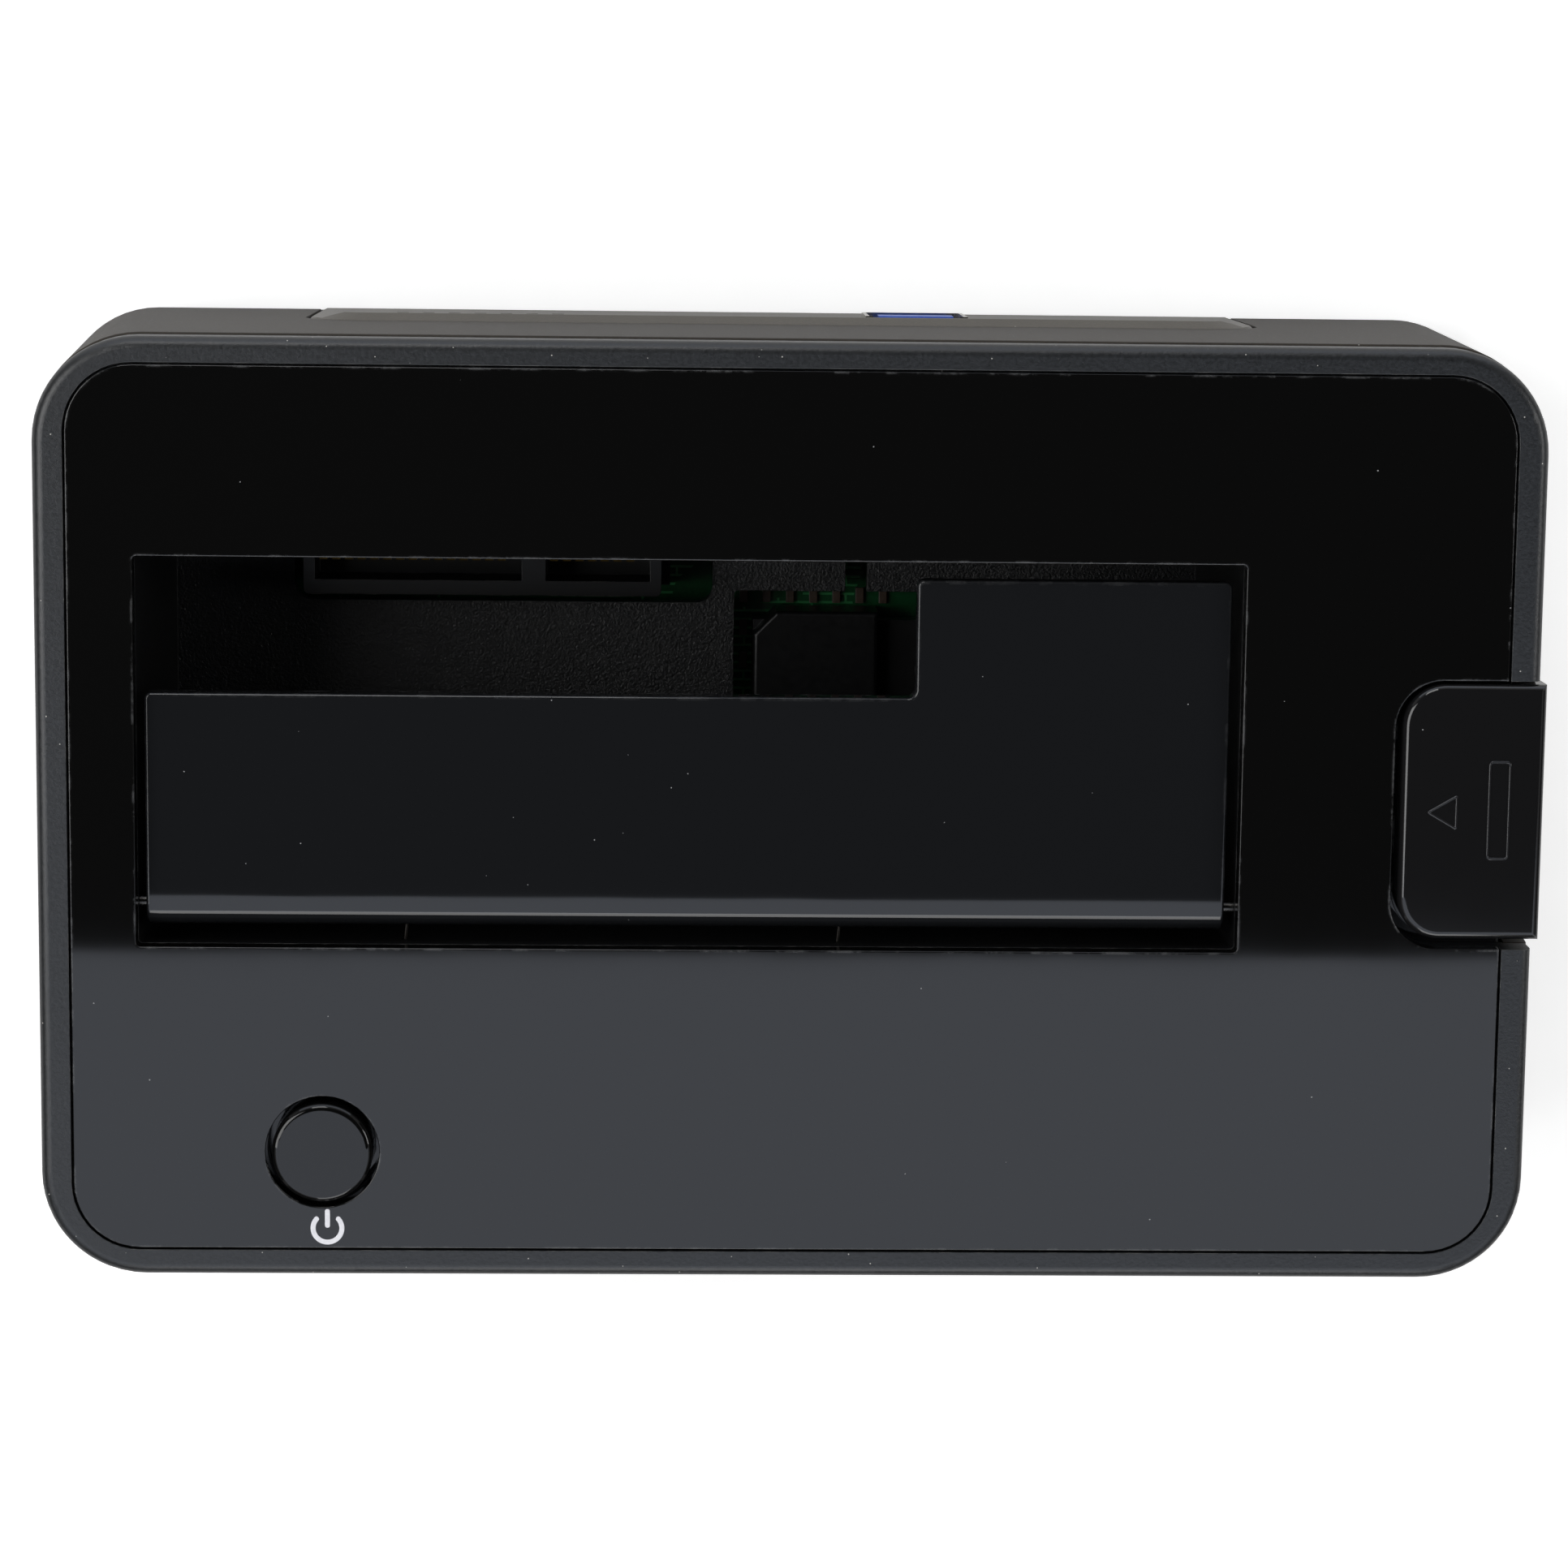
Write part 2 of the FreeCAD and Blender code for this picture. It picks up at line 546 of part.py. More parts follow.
def case_block(inset, z0, z1, lean=0):
    """A straight block on the case's outline, between two heights."""
    return Part.Face(case_wire(inset, lean, z0)).extrude(V(0, 0, z1 - z0))


def side_lean(z):
    """How far each side wall leans out at one height: nothing at its top, SIDE_FLARE at its foot."""
    return SIDE_FLARE * (HOUSING_TOP_Z - z) / (HOUSING_TOP_Z - HOUSING_BOTTOM_Z)


def wall_block(inset, z0, z1):
    """A block whose left and right sides lean out as the side walls do."""
    ends = [case_wire(inset, side_lean(z), z) for z in (z0, z1)]
    return Part.makeLoft(ends, True, True)


def upright(x, y, z0, z1, r):
    """A cylinder along Z between two heights."""
    return Part.makeCylinder(r, z1 - z0, V(x, y, z0))


def along_x(x0, x1, y, z, r):
    """A cylinder along X."""
    return Part.makeCylinder(r, x1 - x0, V(x0, y, z), V(1, 0, 0))


def along_y(x, y0, y1, z, r):
    """A cylinder along Y."""
    return Part.makeCylinder(r, y1 - y0, V(x, y0, z), V(0, 1, 0))


def polygon_prism(points, z0, z1):
    """A straight-sided outline in plan, between two heights."""
    corners = [V(x, y, z0) for x, y in points]
    face = Part.Face(Part.makePolygon(corners + corners[:1]))
    return face.extrude(V(0, 0, z1 - z0))


def flat_edges(shape, z):
    """The edges that lie whole at one height."""
    level = 1e-4
    found = []
    for edge in shape.Edges:
        bounds = edge.BoundBox
        if abs(bounds.ZMin - z) < level and abs(bounds.ZMax - z) < level:
            found.append(edge)
    return found


def upright_edges(shape, x, y, reach=0.05):
    """The edges along Z that stand at one place in plan."""
    found = []
    for edge in shape.Edges:
        bounds = edge.BoundBox
        stands = bounds.XLength < reach and bounds.YLength < reach and bounds.ZLength > reach
        if stands and abs(bounds.Center.x - x) < reach and abs(bounds.Center.y - y) < reach:
            found.append(edge)
    return found


def one_solid(shape):
    """The single solid that a boolean result holds, with its split faces joined."""
    return shape.removeSplitter().Solids[0]


def arc_middle(start, end, tangent):
    """The middle of the arc from start to end that leaves start along tangent."""
    chord = end - start
    direction = V(chord).normalize()
    side = tangent - direction * tangent.dot(direction)
    if side.Length < 1e-9:
        return (start + end) * 0.5
    angle = tangent.getAngle(chord)
    return (start + end) * 0.5 + V(side).normalize() * (chord.Length / 2 * math.tan(angle / 2))


def biarc(start, start_tangent, end, end_tangent):
    """Two arcs that join two points and keep the tangent at both."""
    chord = end - start
    total = start_tangent + end_tangent
    square = 2 * (start_tangent.dot(end_tangent) - 1)
    linear = -2 * chord.dot(total)
    constant = chord.dot(chord)
    reach = (-linear - math.sqrt(linear * linear - 4 * square * constant)) / (2 * square)
    reach = max(reach, (-linear + math.sqrt(linear * linear - 4 * square * constant)) / (2 * square))
    joint = (start + end + (start_tangent - end_tangent) * reach) * 0.5
    first = Part.Arc(start, arc_middle(start, joint, start_tangent), joint).toShape()
    back = arc_middle(end, joint, end_tangent * -1)
    return [first, Part.Arc(joint, back, end).toShape()]


def helix_point(radius, pitch, angle):
    """Where a helix round Z is after a turn by angle, and which way it runs there."""
    place = V(radius * math.cos(angle), radius * math.sin(angle), pitch * angle / (2 * math.pi))
    heading = V(-radius * math.sin(angle), radius * math.cos(angle), pitch / (2 * math.pi))
    return place, heading.normalize()


def helix_edges(radius, pitch, turns):
    """A helix round Z as arcs, two to each quarter turn."""
    edges = []
    for quarter in range(4 * turns):
        start, heading = helix_point(radius, pitch, quarter * math.pi / 2)
        end, end_heading = helix_point(radius, pitch, (quarter + 1) * math.pi / 2)
        edges += biarc(start, heading, end, end_heading)
    return edges


def wire_tube(edges, wire_r, start, heading):
    """A round wire carried along a path of joined edges."""
    section = Part.Wire([Part.Circle(start, heading, wire_r).toShape()])
    return Part.Wire(edges).makePipeShell([section], True, False)


def bay_screw_places():
    """Plan places of the four screws that hold the bay to the cover."""
    front = SLOT_FRONT_Y - BAY_WALL - EAR_REACH + EAR_WIDTH / 2
    back = SLOT_BACK_Y + BAY_WALL + EAR_REACH - EAR_WIDTH / 2
    return [(x, y) for x in (EAR_LEFT_X, EAR_RIGHT_X) for y in (front, back)]


def case_screw_places():
    """Plan places of the four screws that close the case."""
    return [(x * CASE_SCREW_X, y * CASE_SCREW_Y) for x in (-1, 1) for y in (-1, 1)]


def switch_screw_places():
    """Plan places of the two screws that hold the switch board."""
    return [(POWER_X - SWITCH_BOSS_REACH, POWER_Y), (POWER_X + SWITCH_BOSS_REACH, POWER_Y)]


def screw(x, y, seat_z, bite):
    """A pan head screw driven upwards: its head's top face lies at seat_z."""
    head = upright(x, y, seat_z - SCREW_HEAD_HEIGHT, seat_z, SCREW_HEAD_R)
    head = head.makeFillet(SCREW_HEAD_EDGE_R, flat_edges(head, seat_z - SCREW_HEAD_HEIGHT))
    shank = upright(x, y, seat_z, seat_z + bite, SCREW_SHANK_R)
    recess = [
        box(
            x - length / 2, x + length / 2, y - width / 2, y + width / 2,
            seat_z - SCREW_HEAD_HEIGHT, seat_z - SCREW_HEAD_HEIGHT + SCREW_RECESS_DEPTH,
        )
        for length, width in (
            (2 * SCREW_RECESS_R, SCREW_RECESS_R / 2),
            (SCREW_RECESS_R / 2, 2 * SCREW_RECESS_R),
        )
    ]
    return one_solid(head.fuse(shank).cut(recess))


def eject_cut(z0, z1):
    """The cut-out for the eject button, open through the right side."""
    return rounded_box(
        EJECT_LEFT_X - EJECT_GAP_LEFT, CASE_WIDTH / 2 + CASE_CORNER_R,
        EJECT_FRONT_Y - EJECT_GAP_FRONT, EJECT_BACK_Y + EJECT_GAP_BACK,
        z0, z1, EJECT_CUT_CORNER_R,
    )


def plate_block(inset, z0, z1):
    """The gloss plate's plan, drawn in from its recess by inset."""
    return rounded_box(
        -CASE_WIDTH / 2 + RIM_SIDE + inset, CASE_WIDTH / 2 - RIM_SIDE - inset,
        -CASE_DEPTH / 2 + RIM_FRONT + inset, CASE_DEPTH / 2 - RIM_BACK - inset,
        z0, z1, PLATE_CORNER_R - inset,
    )


def slot_block(outset, z0, z1):
    """The drive slot's plan, let out by outset."""
    return rounded_box(
        SLOT_LEFT_X - outset, SLOT_RIGHT_X + outset,
        SLOT_FRONT_Y - outset, SLOT_BACK_Y + outset,
        z0, z1, SLOT_CORNER_R + outset,
    )


def boss(x, y, z0, r, bite):
    """A screw boss that hangs from the deck down to z0, with its pilot hole."""
    post = upright(x, y, z0, DECK_BOTTOM_Z, r)
    pilot = upright(x, y, z0, z0 + bite + BOSS_PILOT_ROOM, SCREW_SHANK_R + SCREW_PILOT_GAP)
    return post.cut(pilot)


def top_cover():
    """The satin frame with the deck that carries plate, bay and switch board."""
    frame = case_block(SEAM_STEP, COVER_EDGE_Z, CASE_HEIGHT)
    frame = frame.makeFillet(TOP_EDGE_R, flat_edges(frame, CASE_HEIGHT))
    lip_outer = WALL + FIT_GAP
    lip = case_block(lip_outer, COVER_EDGE_Z - LIP_HEIGHT, COVER_EDGE_Z)
    hollow = case_block(lip_outer + LIP_THICKNESS, COVER_EDGE_Z - LIP_HEIGHT, DECK_BOTTOM_Z)
    cover = frame.fuse(lip).cut(hollow)
    bosses = [boss(x, y, EAR_BOSS_Z, EAR_WIDTH / 2, SMALL_SCREW_BITE - EAR_THICKNESS)
              for x, y in bay_screw_places()]
    bosses += [boss(x, y, CASE_POST_TOP_Z, CASE_BOSS_R, CASE_SCREW_BITE)
               for x, y in case_screw_places()]
    bosses += [boss(x, y, SWITCH_BOARD_TOP_Z, SWITCH_BOSS_R, SMALL_SCREW_BITE)
               for x, y in switch_screw_places()]
    cover = cover.fuse(bosses)
    holes = [
        plate_block(0, PLATE_BOTTOM_Z, CASE_HEIGHT + PAST),
        slot_block(BAY_WALL + BAY_TO_DECK_GAP, DECK_BOTTOM_Z - PAST, PLATE_BOTTOM_Z + PAST),
        upright(POWER_X, POWER_Y, DECK_BOTTOM_Z - PAST, PLATE_BOTTOM_Z + PAST, POWER_WELL_R),
        eject_cut(COVER_EDGE_Z - LIP_HEIGHT - PAST, CASE_HEIGHT + PAST),
        box(
            EJECT_LEFT_X, CASE_WIDTH / 2 - WALL,
            EJECT_FRONT_Y - EJECT_FLANGE_REACH - EJECT_GAP_LEFT,
            EJECT_BACK_Y + EJECT_FLANGE_REACH + EJECT_GAP_LEFT,
            COVER_EDGE_Z - LIP_HEIGHT - PAST, DECK_BOTTOM_Z,
        ),
    ]
    return one_solid(cover.cut(holes))


def gloss_top_plate():
    """The gloss plate, flush with the frame, with the slot and both button holes."""
    plate = plate_block(PLATE_GROOVE, PLATE_BOTTOM_Z, CASE_HEIGHT)
    plate = plate.cut([
        slot_block(0, PLATE_BOTTOM_Z - PAST, CASE_HEIGHT + PAST),
        upright(POWER_X, POWER_Y, PLATE_BOTTOM_Z - PAST, CASE_HEIGHT + PAST, POWER_WELL_R),
        eject_cut(PLATE_BOTTOM_Z - PAST, CASE_HEIGHT + PAST),
    ])
    return one_solid(plate.makeFillet(PLATE_EDGE_R, flat_edges(plate, CASE_HEIGHT)))


def panel_opening(gap, y0, y1):
    """The rear cut-out's outline, open at the housing's bottom edge, let out by gap."""
    block = rounded_box(
        PANEL_LEFT_X - gap, PANEL_RIGHT_X + gap,
        HOUSING_BOTTOM_Z - PANEL_TOP_Z, PANEL_TOP_Z + gap,
        0, y1 - y0, PANEL_CORNER_R + gap,
    )
    block.rotate(V(0, 0, 0), V(1, 0, 0), 90)
    block.translate(V(0, y1, 0))
    return block


def main_housing():
    """The side walls, one ring, with the port panel's and the eject button's cut-outs."""
    ring = wall_block(0, HOUSING_BOTTOM_Z, HOUSING_TOP_Z)
    ring = ring.makeFillet(SEAM_EDGE_R, flat_edges(ring, HOUSING_TOP_Z) + flat_edges(ring, HOUSING_BOTTOM_Z))
    ring = ring.cut(wall_block(WALL, HOUSING_BOTTOM_Z - PAST, HOUSING_TOP_Z + PAST))
    side = rounded_box(
        EJECT_FRONT_Y - EJECT_GAP_FRONT, EJECT_BACK_Y + EJECT_GAP_BACK,
        EJECT_SILL_Z, CASE_HEIGHT + EJECT_TRAVEL,
        0, CASE_WIDTH / 2 + SIDE_FLARE, EJECT_SILL_CORNER_R,
    )
    side.rotate(V(0, 0, 0), V(1, 0, 0), 90)
    side.rotate(V(0, 0, 0), V(0, 0, 1), 90)
    side.translate(V(WALL, 0, 0))
    rear = panel_opening(PANEL_GAP, CASE_DEPTH / 2 - 2 * WALL, CASE_DEPTH / 2 + PAST)
    return one_solid(ring.cut([side, rear]))


def base_cover():
    """The tray that closes the case, with its screw posts, board posts, vents and foot pockets."""
    tray = case_block(SEAM_STEP, FOOT_STANDOFF, BASE_EDGE_Z, SIDE_FLARE)
    tray = tray.makeFillet(BASE_EDGE_R, flat_edges(tray, FOOT_STANDOFF))
    lip_outer = WALL + FIT_GAP
    lip_top_z = BASE_EDGE_Z + LIP_HEIGHT
    lean = side_lean(lip_top_z)
    tray = tray.fuse(case_block(lip_outer, BASE_EDGE_Z - PAST, lip_top_z, lean))
    tray = tray.cut(case_block(lip_outer + LIP_THICKNESS, BASE_FLOOR_Z, lip_top_z + PAST, lean))
    posts = [upright(x, y, FOOT_STANDOFF, CASE_POST_TOP_Z, CASE_BOSS_R + CASE_POST_WALL)
             for x, y in case_screw_places()]
    posts += [upright(x, y, BASE_FLOOR_Z, BOARD_BOTTOM_Z, BOARD_POST_R) for x, y in board_post_places()]
    tray = tray.fuse(posts)
    holes = [upright(x, y, FOOT_STANDOFF - PAST, CASE_SCREW_SEAT_Z, SCREW_HEAD_R + FIT_GAP)
             for x, y in case_screw_places()]
    holes += [upright(x, y, CASE_SCREW_SEAT_Z - PAST, CASE_POST_TOP_Z + PAST, SCREW_CLEAR_R)
              for x, y in case_screw_places()]
    holes += [upright(x, y, BOARD_BOTTOM_Z - SMALL_SCREW_BITE, BOARD_BOTTOM_Z + PAST,
                      SCREW_SHANK_R + SCREW_PILOT_GAP) for x, y in board_post_places()]
    holes += [upright(x, y, FOOT_STANDOFF - PAST, FOOT_STANDOFF + FOOT_POCKET, FOOT_R + FOOT_POCKET_GAP)
              for x, y in foot_places()]
    for i in range(BASE_VENT_COUNT):
        x = (i - (BASE_VENT_COUNT - 1) / 2) * BASE_VENT_PITCH
        holes.append(rounded_box(
            x - BASE_VENT_WIDTH / 2, x + BASE_VENT_WIDTH / 2,
            -BASE_VENT_LENGTH / 2, BASE_VENT_LENGTH / 2,
            FOOT_STANDOFF - PAST, BASE_FLOOR_Z + PAST, (BASE_VENT_WIDTH - BASE_VENT_FLAT) / 2,
        ))
    rear = box(
        PANEL_LEFT_X - PANEL_FLANGE_REACH - PANEL_GAP, PANEL_RIGHT_X + PANEL_FLANGE_REACH + PANEL_GAP,
        CASE_DEPTH / 2 - WALL - FIT_GAP - LIP_THICKNESS - PAST, CASE_DEPTH / 2,
        BASE_EDGE_Z, CASE_POST_TOP_Z + PAST,
    )
    return one_solid(tray.cut(holes + [rear]))


def foot_places():
    """Plan places of the four rubber feet."""
    return [(x * FOOT_X, y * FOOT_Y) for x in (-1, 1) for y in (-1, 1)]


def board_post_places():
    """Plan places of the main board's four posts; the last stands between two ports."""
    left = BOARD_LEFT_X + BOARD_POST_INSET
    front = BOARD_FRONT_Y + BOARD_POST_INSET
    back = BOARD_BACK_Y - BOARD_POST_INSET
    between = (USB_CENTRE_X + USB_WIDTH / 2 + INLET_CENTRE_X - INLET_WIDTH / 2) / 2
    return [(left, front), (BOARD_WAIST_X - BOARD_POST_INSET, front), (left, back), (between, back)]


def rubber_foot(x, y):
    """One stick-on foot, sitting in its pocket."""
    foot = upright(x, y, 0, FOOT_STANDOFF + FOOT_POCKET, FOOT_R)
    return foot.makeFillet(FOOT_EDGE_R, flat_edges(foot, 0))


def drive_bay():
    """The tub under the slot, with its floor openings, screw ears, hinge bores and lever ears."""
    tub = slot_block(BAY_WALL, BAY_BOTTOM_Z, BAY_TOP_Z)
    ears = []
    for x, y in bay_screw_places():
        wall_y = SLOT_FRONT_Y if y < SLOT_FRONT_Y else SLOT_BACK_Y
        ears.append(upright(x, y, EAR_BOTTOM_Z, EAR_BOSS_Z, EAR_WIDTH / 2))
        ears.append(box(
            x - EAR_WIDTH / 2, x + EAR_WIDTH / 2, min(y, wall_y), max(y, wall_y), EAR_BOTTOM_Z, EAR_BOSS_Z,
        ))
    tub = tub.fuse(ears + [shelf()] + lever_ears())
    hinge_r = HINGE_PIN_R + HINGE_RUNNING_GAP
    holes = [
        slot_block(0, BAY_FLOOR_Z, BAY_TOP_Z + PAST),
        along_x(SLOT_LEFT_X - BAY_WALL - PAST, SLOT_RIGHT_X + BAY_WALL + PAST, HINGE_Y, HINGE_Z, hinge_r),
        connector_opening(),
        rounded_box(
            LIFTER_OPENING_LEFT_X, LIFTER_OPENING_RIGHT_X, LIFTER_OPENING_FRONT_Y, LIFTER_OPENING_BACK_Y,
            BAY_BOTTOM_Z - PAST, BAY_FLOOR_Z + PAST, SLOT_CORNER_R,
        ),
        box(
            LIFTER_NOTCH_LEFT_X, LIFTER_NOTCH_LEFT_X + LIFTER_NOTCH_WIDTH,
            LIFTER_OPENING_BACK_Y - PAST, LIFTER_OPENING_BACK_Y + LIFTER_NOTCH_DEPTH,
            BAY_BOTTOM_Z - PAST, BAY_FLOOR_Z + PAST,
        ),
        upright(STEM_X, STEM_Y, BAY_BOTTOM_Z, BAY_TOP_Z, STEM_R + STEM_RUNNING_GAP),
        along_y(
            LEVER_PIVOT_X, LEVER_FRONT_Y - 2 * LEVER_HUB_R - LEVER_EAR_THICKNESS,
            LEVER_BACK_Y + 2 * LEVER_HUB_R + LEVER_EAR_THICKNESS, LEVER_PIVOT_Z, LEVER_PIN_R + PIN_FIT_GAP,
        ),
    ]
    holes += [upright(x, y, EAR_BOTTOM_Z - PAST, EAR_BOSS_Z + PAST, SCREW_CLEAR_R)
              for x, y in bay_screw_places()]
    for x in flap_spring_places():
        holes.append(along_y(
            spring_hole_x(x), SLOT_FRONT_Y - BAY_WALL - PAST, SLOT_FRONT_Y + PAST,
            HINGE_Z - FLAP_SPRING_R, FLAP_SPRING_HOLE_R,
        ))
    return one_solid(tub.cut(holes))


def connector_opening():
    """The floor opening that the SATA receptacle stands in."""
    return rounded_box(
        SATA_LEFT_X - PORT_OPENING_END_GAP, PORT_OPENING_RIGHT_X,
        PORT_OPENING_FRONT_Y, SLOT_BACK_Y,
        BAY_BOTTOM_Z - PAST, BAY_FLOOR_Z + PAST, PORT_OPENING_CORNER_R,
    )


def shelf():
    """The bracket on the bay's right side that guides the eject button's stem."""
    x0 = SLOT_RIGHT_X
    x1 = STEM_X + SHELF_REACH
    plate = rounded_box(
        x0 - PAST, x1, STEM_Y - SHELF_HALF_WIDTH, STEM_Y + SHELF_HALF_WIDTH,
        SHELF_TOP_Z - SHELF_THICKNESS, SHELF_TOP_Z, SHELF_CORNER_R,
    )
    plate = plate.cut(box(
        x0 - 2 * PAST, x0 + BAY_WALL / 2,
        STEM_Y - SHELF_HALF_WIDTH - PAST, STEM_Y + SHELF_HALF_WIDTH + PAST,
        SHELF_TOP_Z - 2 * SHELF_THICKNESS, SHELF_TOP_Z + PAST,
    ))
    pieces = [plate]
    under = SHELF_TOP_Z - SHELF_THICKNESS
    reach = STEM_X - STEM_R - GUSSET_TO_STEM
    root = x0 + BAY_WALL / 2
    for y in (STEM_Y - SHELF_HALF_WIDTH, STEM_Y + SHELF_HALF_WIDTH - GUSSET_THICKNESS):
        corners = [V(root, y, under), V(reach, y, under), V(root, y, under - GUSSET_DROP)]
        face = Part.Face(Part.makePolygon(corners + corners[:1]))
        pieces.append(face.extrude(V(0, GUSSET_THICKNESS, 0)))
    return pieces[0].fuse(pieces[1:])


def lever_ears():
    """Two ears under the bay's floor that hold the lever's pin."""
    ears = []
    for y in (
        LEVER_FRONT_Y - LEVER_EAR_GAP - LEVER_EAR_THICKNESS,
        LEVER_BACK_Y + LEVER_EAR_GAP,
    ):
        round_end = along_y(LEVER_PIVOT_X, y, y + LEVER_EAR_THICKNESS, LEVER_PIVOT_Z, LEVER_EAR_R)
        web = box(
            LEVER_PIVOT_X - LEVER_EAR_R, LEVER_PIVOT_X + LEVER_EAR_R, y, y + LEVER_EAR_THICKNESS,
            LEVER_PIVOT_Z, BAY_BOTTOM_Z + BAY_FLOOR / 2,
        )
        ears.append(round_end.fuse(web))
    return ears


def flap_outline(z0, z1):
    """The flap's L shape in plan, behind its hinge, with its round corners."""
    left = FLAP_LEFT_X
    right = FLAP_RIGHT_X
    back = SLOT_BACK_Y - FLAP_BACK_GAP
    plate = polygon_prism(
        [
            (left, HINGE_Y), (right, HINGE_Y), (right, back),
            (NOTCH_X, back), (NOTCH_X, NOTCH_Y), (left, NOTCH_Y),
        ],
        z0, z1,
    )
    plate = plate.makeFillet(NOTCH_INNER_R, upright_edges(plate, NOTCH_X, NOTCH_Y))
    outer = upright_edges(plate, NOTCH_X, back) + upright_edges(plate, right, back)
    return plate.makeFillet(NOTCH_OUTER_R, outer + upright_edges(plate, left, NOTCH_Y))


def drive_flap():
    """The L-shaped door: a plate with a round hinge edge, ribs below and two spring pockets."""
    left = FLAP_LEFT_X
    right = FLAP_RIGHT_X
    bottom = FLAP_TOP_Z - FLAP_THICKNESS
    flap = flap_outline(bottom, FLAP_TOP_Z)
    flap = flap.fuse(along_x(left, right, HINGE_Y, HINGE_Z, FLAP_BARREL_R)).removeSplitter()
    flap = flap.makeFillet(FLAP_EDGE_R, [
        edge for edge in flat_edges(flap, FLAP_TOP_Z) if edge.BoundBox.YMax > HINGE_Y + PAST
    ])
    pitch = (right - left) / (FLAP_RIB_COUNT + 1)
    ribs = [
        box(
            left + pitch * (i + 1) - FLAP_RIB_THICKNESS / 2, left + pitch * (i + 1) + FLAP_RIB_THICKNESS / 2,
            HINGE_Y, NOTCH_Y - NOTCH_INNER_R, bottom - FLAP_RIB_HEIGHT, bottom + FLAP_EDGE_R,
        )
        for i in range(FLAP_RIB_COUNT)
    ]
    leg_top = HINGE_Z - FLAP_SPRING_R + FLAP_SPRING_WIRE_R + FLAP_SPRING_LEG_GAP
    seats = [
        box(
            spring_end_x(x) - FLAP_SPRING_SEAT_WIDTH / 2, spring_end_x(x) + FLAP_SPRING_SEAT_WIDTH / 2,
            HINGE_Y + FLAP_SPRING_SEAT_START, HINGE_Y + FLAP_SPRING_LEG + FLAP_SPRING_WIRE_R,
            leg_top, bottom + FLAP_EDGE_R,
        )
        for x in flap_spring_places()
    ]
    flap = flap.fuse(ribs + seats)
    holes = [along_x(left - PAST, right + PAST, HINGE_Y, HINGE_Z, HINGE_PIN_R + PIN_FIT_GAP)]
    half = spring_pocket_length() / 2
    for x in flap_spring_places():
        holes.append(along_x(x - half, x + half, HINGE_Y, HINGE_Z, FLAP_SPRING_POCKET_R))
        holes.append(box(
            x - half, x + half, HINGE_Y - FLAP_BARREL_R - PAST, HINGE_Y + FLAP_BARREL_R,
            HINGE_Z - FLAP_BARREL_R - FLAP_RIB_HEIGHT - PAST, HINGE_Z - FLAP_SPRING_R / 2,
        ))
    return one_solid(flap.cut(holes))


def flap_spring_places():
    """Where along X the middles of the two flap springs are."""
    return [SLOT_LEFT_X + place for place in FLAP_SPRING_PLACES]


def spring_pocket_length():
    """How long a flap spring's pocket is, with room at both ends."""
    return FLAP_SPRING_TURNS * FLAP_SPRING_PITCH + 2 * (FLAP_SPRING_WIRE_R + FLAP_SPRING_END_ROOM)


def spring_end_x(x):
    """Where along X the leg under the flap leaves a spring centred at x."""
    return x + FLAP_SPRING_TURNS * FLAP_SPRING_PITCH / 2


def spring_hole_x(x):
    """Where the front leg of a spring centred at x enters the bay's front wall.

    The leg carries on along the helix, so it drifts along X on its way to the wall.
    """
    heading = helix_point(FLAP_SPRING_R, FLAP_SPRING_PITCH, 0)[1]
    reach = HINGE_Y - SLOT_FRONT_Y + FLAP_SPRING_HOLE_DEPTH / 2
    return 2 * x - spring_end_x(x) - reach * heading.z


def flap_hinge_pin():
    """The steel rod through the flap's barrel and both bay walls."""
    return along_x(
        SLOT_LEFT_X - BAY_WALL + PIN_END_GAP, SLOT_RIGHT_X + BAY_WALL - PIN_END_GAP,
        HINGE_Y, HINGE_Z, HINGE_PIN_R,
    )


def flap_spring(x):
    """A torsion spring round the hinge pin: one leg in the bay's front wall, one under the flap.

    The coil is wound round Z from angle 0 and then laid along X: Z becomes X and X becomes -Z.
    """
    length = FLAP_SPRING_TURNS * FLAP_SPRING_PITCH
    start, heading = helix_point(FLAP_SPRING_R, FLAP_SPRING_PITCH, 0)
    end, end_heading = helix_point(FLAP_SPRING_R, FLAP_SPRING_PITCH, FLAP_SPRING_TURNS * 2 * math.pi)
    front_leg = HINGE_Y - SLOT_FRONT_Y + FLAP_SPRING_HOLE_DEPTH
    first = start - heading * front_leg
    edges = [Part.LineSegment(first, start).toShape()]
    edges += helix_edges(FLAP_SPRING_R, FLAP_SPRING_PITCH, FLAP_SPRING_TURNS)
    edges.append(Part.LineSegment(end, end + end_heading * FLAP_SPRING_LEG).toShape())
    spring = wire_tube(edges, FLAP_SPRING_WIRE_R, first, heading)
    spring.rotate(V(0, 0, 0), V(0, 1, 0), 90)
    spring.translate(V(x - length / 2, HINGE_Y, HINGE_Z))
    return spring


